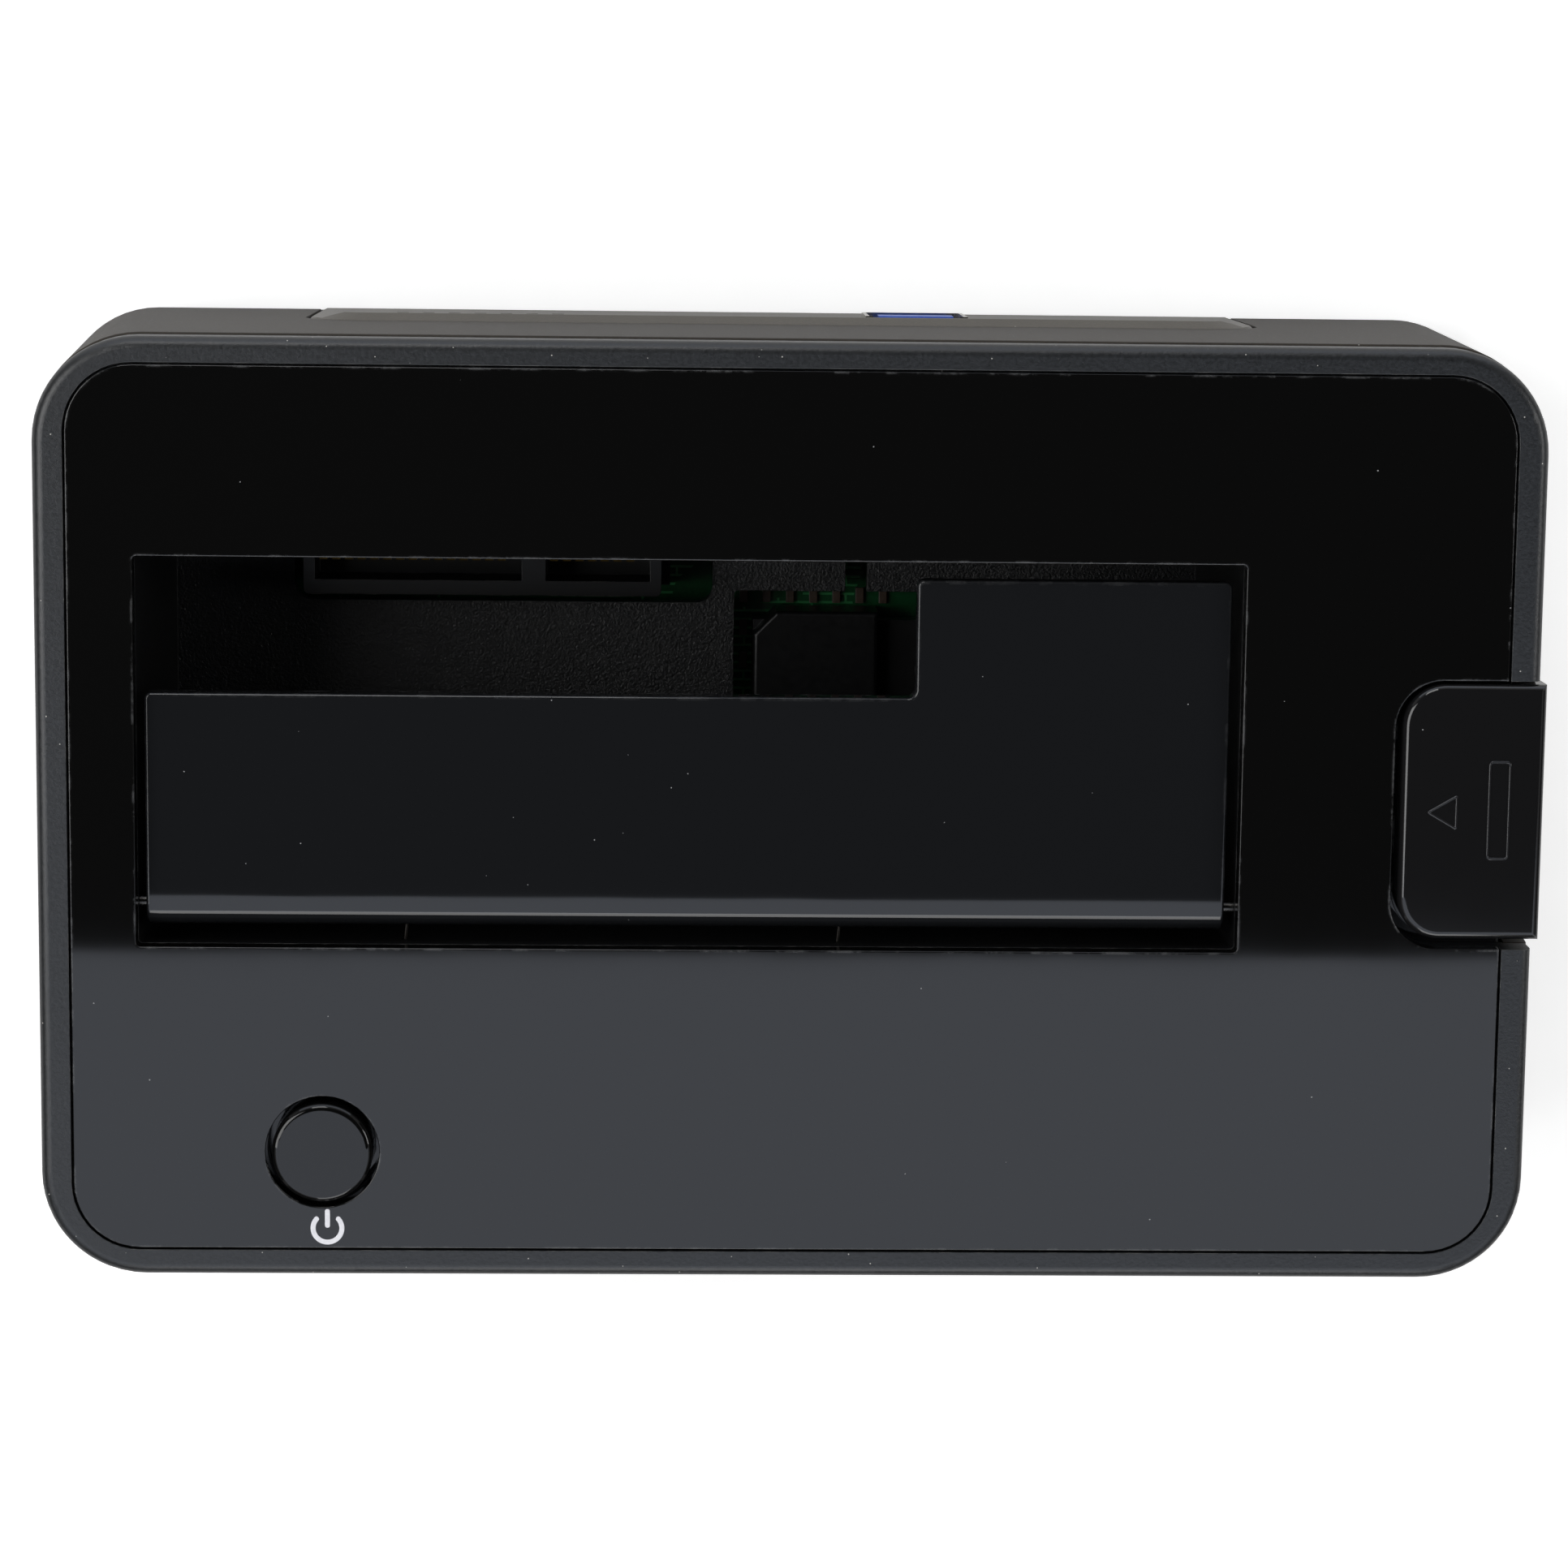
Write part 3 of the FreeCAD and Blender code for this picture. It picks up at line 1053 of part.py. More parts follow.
def eject_button():
    """The push button: cap and skirt outside, flange, apron and guided stem inside."""
    top = CASE_HEIGHT + EJECT_PROUD
    cap = rounded_box(
        EJECT_LEFT_X, EJECT_RIGHT_X + CASE_CORNER_R, EJECT_FRONT_Y, EJECT_BACK_Y,
        EJECT_FLANGE_BOTTOM_Z, top, EJECT_CORNER_R,
    )
    cap = cap.common(box(
        EJECT_LEFT_X, EJECT_RIGHT_X, EJECT_FRONT_Y, EJECT_BACK_Y, EJECT_FLANGE_BOTTOM_Z, top,
    ))
    skirt_x = EJECT_RIGHT_X - WALL - EJECT_OVERHANG
    skirt = box(
        skirt_x, EJECT_RIGHT_X, EJECT_FRONT_Y, EJECT_BACK_Y, EJECT_SKIRT_BOTTOM_Z, top - EJECT_CORNER_R,
    )
    button = cap.fuse(skirt).removeSplitter()
    button = button.makeFillet(EJECT_EDGE_R, flat_edges(button, top))
    apron_x = CASE_WIDTH / 2 - WALL - EJECT_APRON_GAP
    inside = [
        box(
            EJECT_LEFT_X - EJECT_FLANGE_REACH, apron_x,
            EJECT_FRONT_Y - EJECT_FLANGE_REACH, EJECT_BACK_Y + EJECT_FLANGE_REACH,
            EJECT_FLANGE_BOTTOM_Z, EJECT_FLANGE_TOP_Z,
        ),
        box(
            apron_x - EJECT_APRON_THICKNESS, apron_x, EJECT_FRONT_Y - EJECT_FLANGE_REACH,
            EJECT_BACK_Y + EJECT_FLANGE_REACH, EJECT_APRON_BOTTOM_Z, EJECT_FLANGE_TOP_Z,
        ),
        box(
            apron_x - EJECT_APRON_THICKNESS, skirt_x + EJECT_EDGE_R, EJECT_FRONT_Y, EJECT_BACK_Y,
            EJECT_SKIRT_BOTTOM_Z, EJECT_FLANGE_TOP_Z,
        ),
        upright(STEM_X, STEM_Y, LEVER_TOP_Z + STEM_FOOT_GAP, EJECT_FLANGE_TOP_Z, STEM_R),
    ]
    button = button.fuse(inside)
    foot = [e for e in flat_edges(button, LEVER_TOP_Z + STEM_FOOT_GAP)]
    return one_solid(button.makeFillet(EJECT_EDGE_R, foot))


def eject_return_spring():
    """The compression spring round the stem, between the shelf and the button's flange."""
    length = EJECT_FLANGE_BOTTOM_Z - SHELF_TOP_Z - 2 * (RETURN_SPRING_WIRE_R + RETURN_SPRING_SEAT_GAP)
    pitch = length / RETURN_SPRING_TURNS
    start, heading = helix_point(RETURN_SPRING_R, pitch, 0)
    spring = wire_tube(
        helix_edges(RETURN_SPRING_R, pitch, RETURN_SPRING_TURNS), RETURN_SPRING_WIRE_R, start, heading,
    )
    spring.translate(V(STEM_X, STEM_Y, SHELF_TOP_Z + RETURN_SPRING_WIRE_R + RETURN_SPRING_SEAT_GAP))
    return spring


def eject_lever():
    """The rocker under the bay: the button pushes its right arm, its left end lifts the drive."""
    low = LEVER_PIVOT_Z - LEVER_THICKNESS / 2
    arm_end = STEM_X + LEVER_ARM_END
    arm = rounded_box(
        LEVER_PIVOT_X, arm_end, STEM_Y - LEVER_ARM_HALF_WIDTH, STEM_Y + LEVER_ARM_HALF_WIDTH,
        low, LEVER_TOP_Z, LEVER_PAD_R,
    )
    web = box(LIFTER_LEFT_X, LEVER_PIVOT_X, LEVER_FRONT_Y, LEVER_BACK_Y, low, LEVER_TOP_Z)
    pad = polygon_prism(
        [
            (LIFTER_LEFT_X, LEVER_FRONT_Y), (LIFTER_RIGHT_X, LEVER_FRONT_Y), (LIFTER_RIGHT_X, LIFTER_BACK_Y),
            (LIFTER_LEFT_X + LIFTER_CHAMFER, LIFTER_BACK_Y), (LIFTER_LEFT_X, LIFTER_BACK_Y - LIFTER_CHAMFER),
        ],
        low, BAY_FLOOR_Z - LIFTER_BELOW_FLOOR_TOP,
    )
    hub = along_y(LEVER_PIVOT_X, LEVER_FRONT_Y, LEVER_BACK_Y, LEVER_PIVOT_Z, LEVER_HUB_R)
    lever = arm.fuse([web, pad, hub])
    bore = along_y(
        LEVER_PIVOT_X, LEVER_FRONT_Y - PAST, LEVER_BACK_Y + PAST,
        LEVER_PIVOT_Z, LEVER_PIN_R + LEVER_PIN_RUNNING_GAP,
    )
    lever = one_solid(lever.cut(bore))
    return lever.makeFillet(LIFTER_EDGE_R, flat_edges(lever, BAY_FLOOR_Z - LIFTER_BELOW_FLOOR_TOP))


def lever_pivot_pin():
    """The steel pin that the lever rocks on."""
    reach = LEVER_EAR_GAP + LEVER_EAR_THICKNESS
    return along_y(LEVER_PIVOT_X, LEVER_FRONT_Y - reach, LEVER_BACK_Y + reach, LEVER_PIVOT_Z, LEVER_PIN_R)


def power_button():
    """The round cap with its retaining flange and stem."""
    top = CASE_HEIGHT + POWER_PROUD
    cap = upright(POWER_X, POWER_Y, POWER_FLANGE_BOTTOM_Z, top, POWER_CAP_R)
    cap = cap.makeFillet(POWER_CAP_EDGE_R, flat_edges(cap, top))
    flange = upright(POWER_X, POWER_Y, POWER_FLANGE_BOTTOM_Z, POWER_FLANGE_TOP_Z, POWER_FLANGE_R)
    stem = upright(POWER_X, POWER_Y, PLUNGER_TOP_Z, POWER_FLANGE_BOTTOM_Z, POWER_STEM_R)
    return one_solid(cap.fuse([flange, stem]))


def power_switch_body():
    """The push switch's case, with the bore that its plunger runs in."""
    half = SWITCH_BODY / 2
    body = rounded_box(
        POWER_X - half, POWER_X + half, POWER_Y - half, POWER_Y + half,
        SWITCH_BOARD_TOP_Z, SWITCH_BODY_TOP_Z, SWITCH_BODY_CORNER_R,
    )
    bore_z = SWITCH_BODY_TOP_Z - SWITCH_PLUNGER_HOLD - POWER_TRAVEL - 2 * SWITCH_PLUNGER_ROOM
    return one_solid(body.cut(upright(
        POWER_X, POWER_Y, bore_z, SWITCH_BODY_TOP_Z + PAST,
        SWITCH_PLUNGER_R + HINGE_RUNNING_GAP,
    )))


def power_switch_plunger():
    """The plunger that the power button's stem presses."""
    return upright(
        POWER_X, POWER_Y, SWITCH_BODY_TOP_Z - SWITCH_PLUNGER_HOLD, PLUNGER_TOP_Z, SWITCH_PLUNGER_R,
    )


def power_switch_board():
    """The small board that hangs from the cover under the power button."""
    x = SWITCH_BOARD_WIDTH / 2
    y = SWITCH_BOARD_DEPTH / 2
    board = rounded_box(
        POWER_X - x, POWER_X + x, POWER_Y - y, POWER_Y + y,
        SWITCH_BOARD_BOTTOM_Z, SWITCH_BOARD_TOP_Z, BOARD_CORNER_R,
    )
    return one_solid(board.cut([
        upright(sx, sy, SWITCH_BOARD_BOTTOM_Z - PAST, SWITCH_BOARD_TOP_Z + PAST, SCREW_CLEAR_R)
        for sx, sy in switch_screw_places()
    ]))


def status_led():
    """The surface-mount light beside the switch."""
    y = POWER_Y + LED_OFFSET_Y
    return box(
        POWER_X - LED_LENGTH / 2, POWER_X + LED_LENGTH / 2, y - LED_WIDTH / 2, y + LED_WIDTH / 2,
        SWITCH_BOARD_TOP_Z, SWITCH_BOARD_TOP_Z + LED_HEIGHT,
    )


def main_board():
    """The circuit board, with a waist that leaves room for the eject lever's arm."""
    back = BOARD_BACK_Y
    board = polygon_prism(
        [
            (BOARD_LEFT_X, BOARD_FRONT_Y), (BOARD_WAIST_X, BOARD_FRONT_Y),
            (BOARD_WAIST_X, BOARD_WAIST_BACK_Y), (BOARD_RIGHT_X, BOARD_WAIST_BACK_Y),
            (BOARD_RIGHT_X, back), (BOARD_LEFT_X, back),
        ],
        BOARD_BOTTOM_Z, BOARD_TOP_Z,
    )
    corners = upright_edges(board, BOARD_LEFT_X, BOARD_FRONT_Y) + upright_edges(board, BOARD_LEFT_X, back)
    corners += upright_edges(board, BOARD_RIGHT_X, back) + upright_edges(board, BOARD_WAIST_X, BOARD_FRONT_Y)
    board = board.makeFillet(BOARD_CORNER_R, corners)
    return one_solid(board.cut([
        upright(x, y, BOARD_BOTTOM_Z - PAST, BOARD_TOP_Z + PAST, SCREW_CLEAR_R)
        for x, y in board_post_places()
    ]))


def sata_slots():
    """Left and right ends of the power slot and of the signal slot."""
    power = SATA_LEFT_X + SATA_END_WALL
    signal = power + SATA_POWER_SLOT + SATA_DIVIDER
    return (power, power + SATA_POWER_SLOT), (signal, signal + SATA_SIGNAL_SLOT)


def sata_receptacle():
    """The upright 22-way receptacle: a block with two keyed slots and a mounting flange."""
    body = rounded_box(
        SATA_LEFT_X, SATA_RIGHT_X, SATA_FRONT_Y, SATA_BACK_Y, BOARD_TOP_Z, SATA_TOP_Z, SATA_END_WALL / 2,
    )
    flange = box(
        SATA_LEFT_X - SATA_FLANGE_REACH, SATA_RIGHT_X + SATA_FLANGE_REACH, SATA_FRONT_Y, SATA_BACK_Y,
        BOARD_TOP_Z, BOARD_TOP_Z + SATA_FLANGE_HEIGHT,
    )
    y0 = SATA_FRONT_Y + SATA_SLOT_FRONT_WALL
    y1 = y0 + SATA_SLOT_WIDTH
    cuts = []
    for x0, x1 in sata_slots():
        cuts.append(box(x0, x1, y0, y1, SATA_TOP_Z - SATA_SLOT_DEPTH, SATA_TOP_Z + PAST))
        cuts.append(box(
            x1 - SATA_KEY_WIDTH, x1, y1, y1 + SATA_KEY_DEPTH, SATA_TOP_Z - SATA_SLOT_DEPTH, SATA_TOP_Z + PAST,
        ))
    return one_solid(body.fuse(flange).cut(cuts))


def sata_contacts():
    """The 22 contact blades, in one row along the slots' back wall."""
    y1 = SATA_FRONT_Y + SATA_SLOT_FRONT_WALL + SATA_SLOT_WIDTH
    blades = []
    for (x0, x1), count in zip(sata_slots(), (SATA_POWER_PINS, SATA_SIGNAL_PINS)):
        first = (x0 + x1 - SATA_KEY_WIDTH) / 2 - (count - 1) / 2 * SATA_PITCH
        for i in range(count):
            x = first + i * SATA_PITCH
            blades.append(box(
                x - SATA_CONTACT_WIDTH / 2, x + SATA_CONTACT_WIDTH / 2, y1 - SATA_CONTACT_THICKNESS, y1,
                SATA_TOP_Z - SATA_SLOT_DEPTH, SATA_TOP_Z - SATA_CONTACT_TOP_GAP,
            ))
    return Part.makeCompound(blades)


def usb_profile(inset):
    """The USB port's outline, a rectangle with two cut upper corners, as a face at Y 0."""
    half = USB_WIDTH / 2 - inset
    low = inset
    high = USB_HEIGHT - inset
    cut = USB_CORNER_CUT
    corners = [
        V(-half, 0, low), V(half, 0, low), V(half, 0, high - cut), V(half - cut, 0, high),
        V(-half + cut, 0, high), V(-half, 0, high - cut),
    ]
    face = Part.Face(Part.makePolygon(corners + corners[:1]))
    face.translate(V(USB_CENTRE_X, 0, BOARD_TOP_Z))
    return face


def usb_port_shell():
    """The folded metal shell, open to the back; its floor and sides reach past its roof."""
    y0 = PORT_FACE_Y - USB_DEPTH
    length = V(0, USB_MOUTH_Y - y0, 0)
    outer = usb_profile(0)
    outer.translate(V(0, y0, 0))
    inner = usb_profile(USB_SHELL)
    inner.translate(V(0, y0 + USB_SHELL, 0))
    roof_end = box(
        USB_CENTRE_X - USB_WIDTH, USB_CENTRE_X + USB_WIDTH, PORT_FACE_Y, USB_MOUTH_Y + PAST,
        BOARD_TOP_Z + USB_HEIGHT - USB_CORNER_CUT, BOARD_TOP_Z + USB_HEIGHT + PAST,
    )
    return one_solid(outer.extrude(length).cut([inner.extrude(length), roof_end]))


def usb_port_insulator():
    """The blue moulding: a block at the shell's rear and the tongue that carries the contacts."""
    y0 = PORT_FACE_Y - USB_DEPTH + USB_SHELL
    block = usb_profile(USB_SHELL)
    block.translate(V(0, y0, 0))
    z0 = BOARD_TOP_Z + USB_TONGUE_RISE
    tongue = box(
        USB_CENTRE_X - USB_TONGUE_WIDTH / 2, USB_CENTRE_X + USB_TONGUE_WIDTH / 2,
        y0, USB_MOUTH_Y - USB_TONGUE_SETBACK, z0, z0 + USB_TONGUE_HEIGHT,
    )
    return one_solid(block.extrude(V(0, USB_BLOCK_DEPTH, 0)).fuse(tongue))


def usb_contacts():
    """The contact strips on the tongue's upper face."""
    z0 = BOARD_TOP_Z + USB_TONGUE_RISE + USB_TONGUE_HEIGHT
    y0 = PORT_FACE_Y - USB_DEPTH + USB_SHELL + USB_BLOCK_DEPTH
    strips = []
    for i in range(USB_CONTACTS):
        x = USB_CENTRE_X + (i - (USB_CONTACTS - 1) / 2) * USB_CONTACT_PITCH
        strips.append(box(
            x - USB_CONTACT_WIDTH / 2, x + USB_CONTACT_WIDTH / 2, y0,
            PORT_FACE_Y - USB_CONTACT_SETBACK, z0, z0 + USB_CONTACT_THICKNESS,
        ))
    return Part.makeCompound(strips)


def esata_port_shell():
    """The external SATA port's metal shell, open to the back."""
    y0 = PORT_FACE_Y - ESATA_DEPTH
    z0 = BOARD_TOP_Z + ESATA_RISE
    half = ESATA_WIDTH / 2
    outer = box(ESATA_CENTRE_X - half, ESATA_CENTRE_X + half, y0, PORT_FACE_Y, z0, z0 + ESATA_HEIGHT)
    inner = box(
        ESATA_CENTRE_X - half + ESATA_SHELL, ESATA_CENTRE_X + half - ESATA_SHELL, y0 + ESATA_SHELL,
        PORT_FACE_Y + PAST, z0 + ESATA_SHELL, z0 + ESATA_HEIGHT - ESATA_SHELL,
    )
    feet = [
        box(
            ESATA_CENTRE_X + side * (half - ESATA_SHELL) - ESATA_SHELL,
            ESATA_CENTRE_X + side * (half - ESATA_SHELL) + ESATA_SHELL,
            y0 + ESATA_SHELL, y0 + ESATA_BLOCK_DEPTH, BOARD_TOP_Z, z0 + ESATA_SHELL / 2,
        )
        for side in (-1, 1)
    ]
    return one_solid(outer.cut(inner).fuse(feet))


def esata_port_insulator():
    """The black moulding in the external SATA port, with its contact tongue."""
    y0 = PORT_FACE_Y - ESATA_DEPTH + ESATA_SHELL
    z0 = BOARD_TOP_Z + ESATA_RISE + ESATA_SHELL
    half = ESATA_WIDTH / 2 - ESATA_SHELL
    block = box(
        ESATA_CENTRE_X - half, ESATA_CENTRE_X + half, y0, y0 + ESATA_BLOCK_DEPTH,
        z0, z0 + ESATA_HEIGHT - 2 * ESATA_SHELL,
    )
    middle = z0 + ESATA_HEIGHT / 2 - ESATA_SHELL
    tongue = box(
        ESATA_CENTRE_X - ESATA_TONGUE_WIDTH / 2, ESATA_CENTRE_X + ESATA_TONGUE_WIDTH / 2,
        y0, PORT_FACE_Y - ESATA_TONGUE_SETBACK,
        middle - ESATA_TONGUE_HEIGHT / 2, middle + ESATA_TONGUE_HEIGHT / 2,
    )
    return one_solid(block.fuse(tongue))


def power_inlet():
    """The barrel inlet's black body, with a round nose and its blind bore."""
    nose_y = PANEL_INNER_Y - FIT_GAP
    body = box(
        INLET_CENTRE_X - INLET_WIDTH / 2, INLET_CENTRE_X + INLET_WIDTH / 2,
        PORT_FACE_Y - INLET_DEPTH, nose_y,
        BOARD_TOP_Z, BOARD_TOP_Z + INLET_HEIGHT,
    )
    nose = along_y(INLET_CENTRE_X, nose_y - PAST, PORT_FACE_Y, INLET_CENTRE_Z, INLET_NOSE_R)
    bore = along_y(
        INLET_CENTRE_X, PORT_FACE_Y - INLET_BORE_DEPTH, PORT_FACE_Y + PAST, INLET_CENTRE_Z, INLET_BORE_R,
    )
    return one_solid(body.fuse(nose).cut(bore))


def power_inlet_pin():
    """The round contact pin in the middle of the inlet."""
    pin = along_y(
        INLET_CENTRE_X, PORT_FACE_Y - INLET_BORE_DEPTH, PORT_FACE_Y - INLET_PIN_SETBACK,
        INLET_CENTRE_Z, INLET_PIN_R,
    )
    tip = [e for e in pin.Edges if abs(e.BoundBox.YMin - (PORT_FACE_Y - INLET_PIN_SETBACK)) < 0.01]
    return pin.makeFillet(INLET_PIN_R / 2, tip)


def port_hole(x, width, z0, z1):
    """One rectangular hole through the panel, with a bevelled rim on the outside."""
    half = width / 2 + PORT_MOUTH_GAP
    low = z0 - PORT_MOUTH_GAP
    high = z1 + PORT_MOUTH_GAP
    inside = PANEL_INNER_Y - PAST
    straight = box(x - half, x + half, inside, PANEL_FACE_Y + PAST, low, high)
    return straight.fuse(bevel(x, half, low, high))


def bevel(x, half, low, high):
    """The sloped rim of a panel hole: its section grows by PORT_BEVEL at the panel's face."""
    sections = []
    for y, out in ((PANEL_FACE_Y - PORT_BEVEL, 0), (PANEL_FACE_Y + PORT_BEVEL, 2 * PORT_BEVEL)):
        corners = [
            V(x - half - out, y, low - out), V(x + half + out, y, low - out),
            V(x + half + out, y, high + out), V(x - half - out, y, high + out),
        ]
        sections.append(Part.makePolygon(corners + corners[:1]))
    return Part.makeLoft(sections, True, True)


def round_port_hole(x, z, r):
    """The inlet's round hole with its cone rim."""
    inside = PANEL_INNER_Y - PAST
    hole = along_y(x, inside, PANEL_FACE_Y + PAST, z, r)
    foot = V(x, PANEL_FACE_Y - PORT_BEVEL, z)
    cone = Part.makeCone(r, r + 2 * PORT_BEVEL, 2 * PORT_BEVEL, foot, V(0, 1, 0))
    return hole.fuse(cone)


def vent_slots():
    """Upright slots beside the ports; the two outer ones reach higher."""
    pitch = (VENT_RIGHT_X - VENT_LEFT_X - VENT_WIDTH) / (VENT_COUNT - 1)
    inside = PANEL_INNER_Y - PAST
    slots = []
    for i in range(VENT_COUNT):
        x = VENT_LEFT_X + i * pitch
        drop = 0 if i in (0, VENT_COUNT - 1) else VENT_INNER_DROP
        slots.append(box(x, x + VENT_WIDTH, inside, PANEL_FACE_Y + PAST, VENT_BOTTOM_Z, VENT_TOP_Z - drop))
    return slots


def panel_outline(gap, y):
    """The panel's outline, let out by gap, as a closed wire in the upright plane at y."""
    block = panel_opening(gap, y - WALL, y)
    return max(block.Faces, key=lambda face: face.CenterOfMass.y).OuterWire


def port_hood():
    """The lip over the ports: it slopes out from the panel's upper edge and ends in a narrow face."""
    inner_y = CASE_DEPTH / 2 - WALL
    root = panel_opening(0, inner_y, CASE_DEPTH / 2)
    slope = Part.makeLoft([
        panel_outline(0, CASE_DEPTH / 2), panel_outline(-HOOD_SLOPE, HOOD_FACE_Y),
    ], True, True)
    return root.fuse(slope).common(box(
        PANEL_LEFT_X - PAST, PANEL_RIGHT_X + PAST, inner_y, HOOD_FACE_Y + PAST,
        HOOD_EDGE_Z, PANEL_TOP_Z + PAST,
    ))


def rear_port_panel():
    """The panel in the back wall: a face with its hood, an inner flange and all port holes."""
    inner_y = CASE_DEPTH / 2 - WALL
    face = panel_opening(0, inner_y, PANEL_FACE_Y)
    face = face.common(box(
        PANEL_LEFT_X, PANEL_RIGHT_X, inner_y, PANEL_FACE_Y, HOUSING_BOTTOM_Z, PANEL_TOP_Z,
    ))
    rim = [
        e for e in face.Edges
        if e.BoundBox.YMin > PANEL_FACE_Y - FIT_GAP and e.BoundBox.ZMax > HOUSING_BOTTOM_Z + PAST
    ]
    face = face.makeChamfer(PANEL_BEVEL, rim)
    flange_y = inner_y - FIT_GAP
    flange = box(
        PANEL_LEFT_X - PANEL_FLANGE_REACH, PANEL_RIGHT_X + PANEL_FLANGE_REACH,
        flange_y - PANEL_FLANGE_THICKNESS, flange_y,
        BASE_EDGE_Z + FIT_GAP, PANEL_TOP_Z + PANEL_FLANGE_REACH,
    )
    bridge = box(
        PANEL_LEFT_X + PANEL_CORNER_R, PANEL_RIGHT_X - PANEL_CORNER_R, flange_y - FIT_GAP, inner_y + FIT_GAP,
        HOUSING_BOTTOM_Z, PANEL_TOP_Z - PANEL_CORNER_R,
    )
    esata_z = BOARD_TOP_Z + ESATA_RISE
    lock_z = LOCK_CENTRE_Z - LOCK_HEIGHT / 2
    holes = [
        port_hole(USB_CENTRE_X, USB_WIDTH, BOARD_TOP_Z, BOARD_TOP_Z + USB_HEIGHT),
        port_hole(ESATA_CENTRE_X, ESATA_WIDTH, esata_z, esata_z + ESATA_HEIGHT),
        port_hole(LOCK_CENTRE_X, LOCK_WIDTH, lock_z, lock_z + LOCK_HEIGHT),
        round_port_hole(INLET_CENTRE_X, INLET_CENTRE_Z, INLET_NOSE_R + PORT_MOUTH_GAP),
    ]
    return one_solid(face.fuse([flange, bridge]).cut(holes + vent_slots()).fuse(port_hood()))


def lock_plate():
    """The steel plate behind the lock slot."""
    y1 = PANEL_INNER_Y
    left = LOCK_CENTRE_X - LOCK_WIDTH / 2
    right = LOCK_CENTRE_X + LOCK_WIDTH / 2
    low = LOCK_CENTRE_Z - LOCK_HEIGHT / 2
    high = LOCK_CENTRE_Z + LOCK_HEIGHT / 2
    plate = box(
        left - LOCK_PLATE_RIM_SIDE, right + LOCK_PLATE_RIM_SIDE, y1 - LOCK_PLATE_THICKNESS, y1,
        low - LOCK_PLATE_RIM_TOP, high + LOCK_PLATE_RIM_TOP,
    )
    slot = box(left, right, y1 - LOCK_PLATE_THICKNESS - PAST, y1 + PAST, low, high)
    return one_solid(plate.cut(slot))


def bridge_chip():
    """The controller in its flat package, with its row of leads drawn as one collar a side."""
    half = CHIP_SIZE / 2
    body = box(
        CHIP_X - half, CHIP_X + half, CHIP_Y - half, CHIP_Y + half,
        BOARD_TOP_Z + CHIP_LEAD_THICKNESS / 2, BOARD_TOP_Z + CHIP_HEIGHT,
    )
    wide = half + CHIP_LEAD_REACH
    short = half - CHIP_LEAD_REACH
    leads = [
        box(CHIP_X - wide, CHIP_X + wide, CHIP_Y - short, CHIP_Y + short,
            BOARD_TOP_Z, BOARD_TOP_Z + CHIP_LEAD_THICKNESS),
        box(CHIP_X - short, CHIP_X + short, CHIP_Y - wide, CHIP_Y + wide,
            BOARD_TOP_Z, BOARD_TOP_Z + CHIP_LEAD_THICKNESS),
    ]
    return one_solid(body.fuse(leads))


def voltage_regulators():
    """Two power packages, each a block with a step for its tab."""
    parts = []
    for i in range(REGULATOR_COUNT):
        x = REGULATOR_X
        y = REGULATOR_Y + i * REGULATOR_PITCH
        body = box(
            x - REGULATOR_LENGTH / 2, x + REGULATOR_LENGTH / 2,
            y - REGULATOR_WIDTH / 2, y + REGULATOR_WIDTH / 2,
            BOARD_TOP_Z, BOARD_TOP_Z + REGULATOR_HEIGHT,
        )
        tab = box(
            x + REGULATOR_LENGTH / 2, x + REGULATOR_LENGTH / 2 + CHIP_LEAD_REACH,
            y - REGULATOR_WIDTH / 2, y + REGULATOR_WIDTH / 2,
            BOARD_TOP_Z, BOARD_TOP_Z + CHIP_LEAD_THICKNESS * 2,
        )
        parts.append(one_solid(body.fuse(tab)))
    return Part.makeCompound(parts)


def crystal():
    """The clock crystal's drawn metal can."""
    x = CRYSTAL_LENGTH / 2
    y = CRYSTAL_WIDTH / 2
    can = rounded_box(
        CRYSTAL_X - x, CRYSTAL_X + x, CRYSTAL_Y - y, CRYSTAL_Y + y,
        BOARD_TOP_Z, BOARD_TOP_Z + CRYSTAL_HEIGHT, y - CAPACITOR_EDGE_R,
    )
    return can.makeFillet(CAPACITOR_EDGE_R, flat_edges(can, BOARD_TOP_Z + CRYSTAL_HEIGHT))


def capacitors():
    """The electrolytic capacitors behind the bay."""
    cans = []
    for i in range(CAPACITOR_COUNT):
        x = CAPACITOR_X + i * CAPACITOR_PITCH
        can = upright(x, CAPACITOR_Y, BOARD_TOP_Z, BOARD_TOP_Z + CAPACITOR_HEIGHT, CAPACITOR_R)
        cans.append(can.makeFillet(CAPACITOR_EDGE_R, flat_edges(can, BOARD_TOP_Z + CAPACITOR_HEIGHT)))
    return Part.makeCompound(cans)


def power_inductor():
    """The shielded inductor."""
    half = INDUCTOR_SIZE / 2
    return rounded_box(
        INDUCTOR_X - half, INDUCTOR_X + half, INDUCTOR_Y - half, INDUCTOR_Y + half,
        BOARD_TOP_Z, BOARD_TOP_Z + INDUCTOR_HEIGHT, INDUCTOR_CORNER_R,
    )


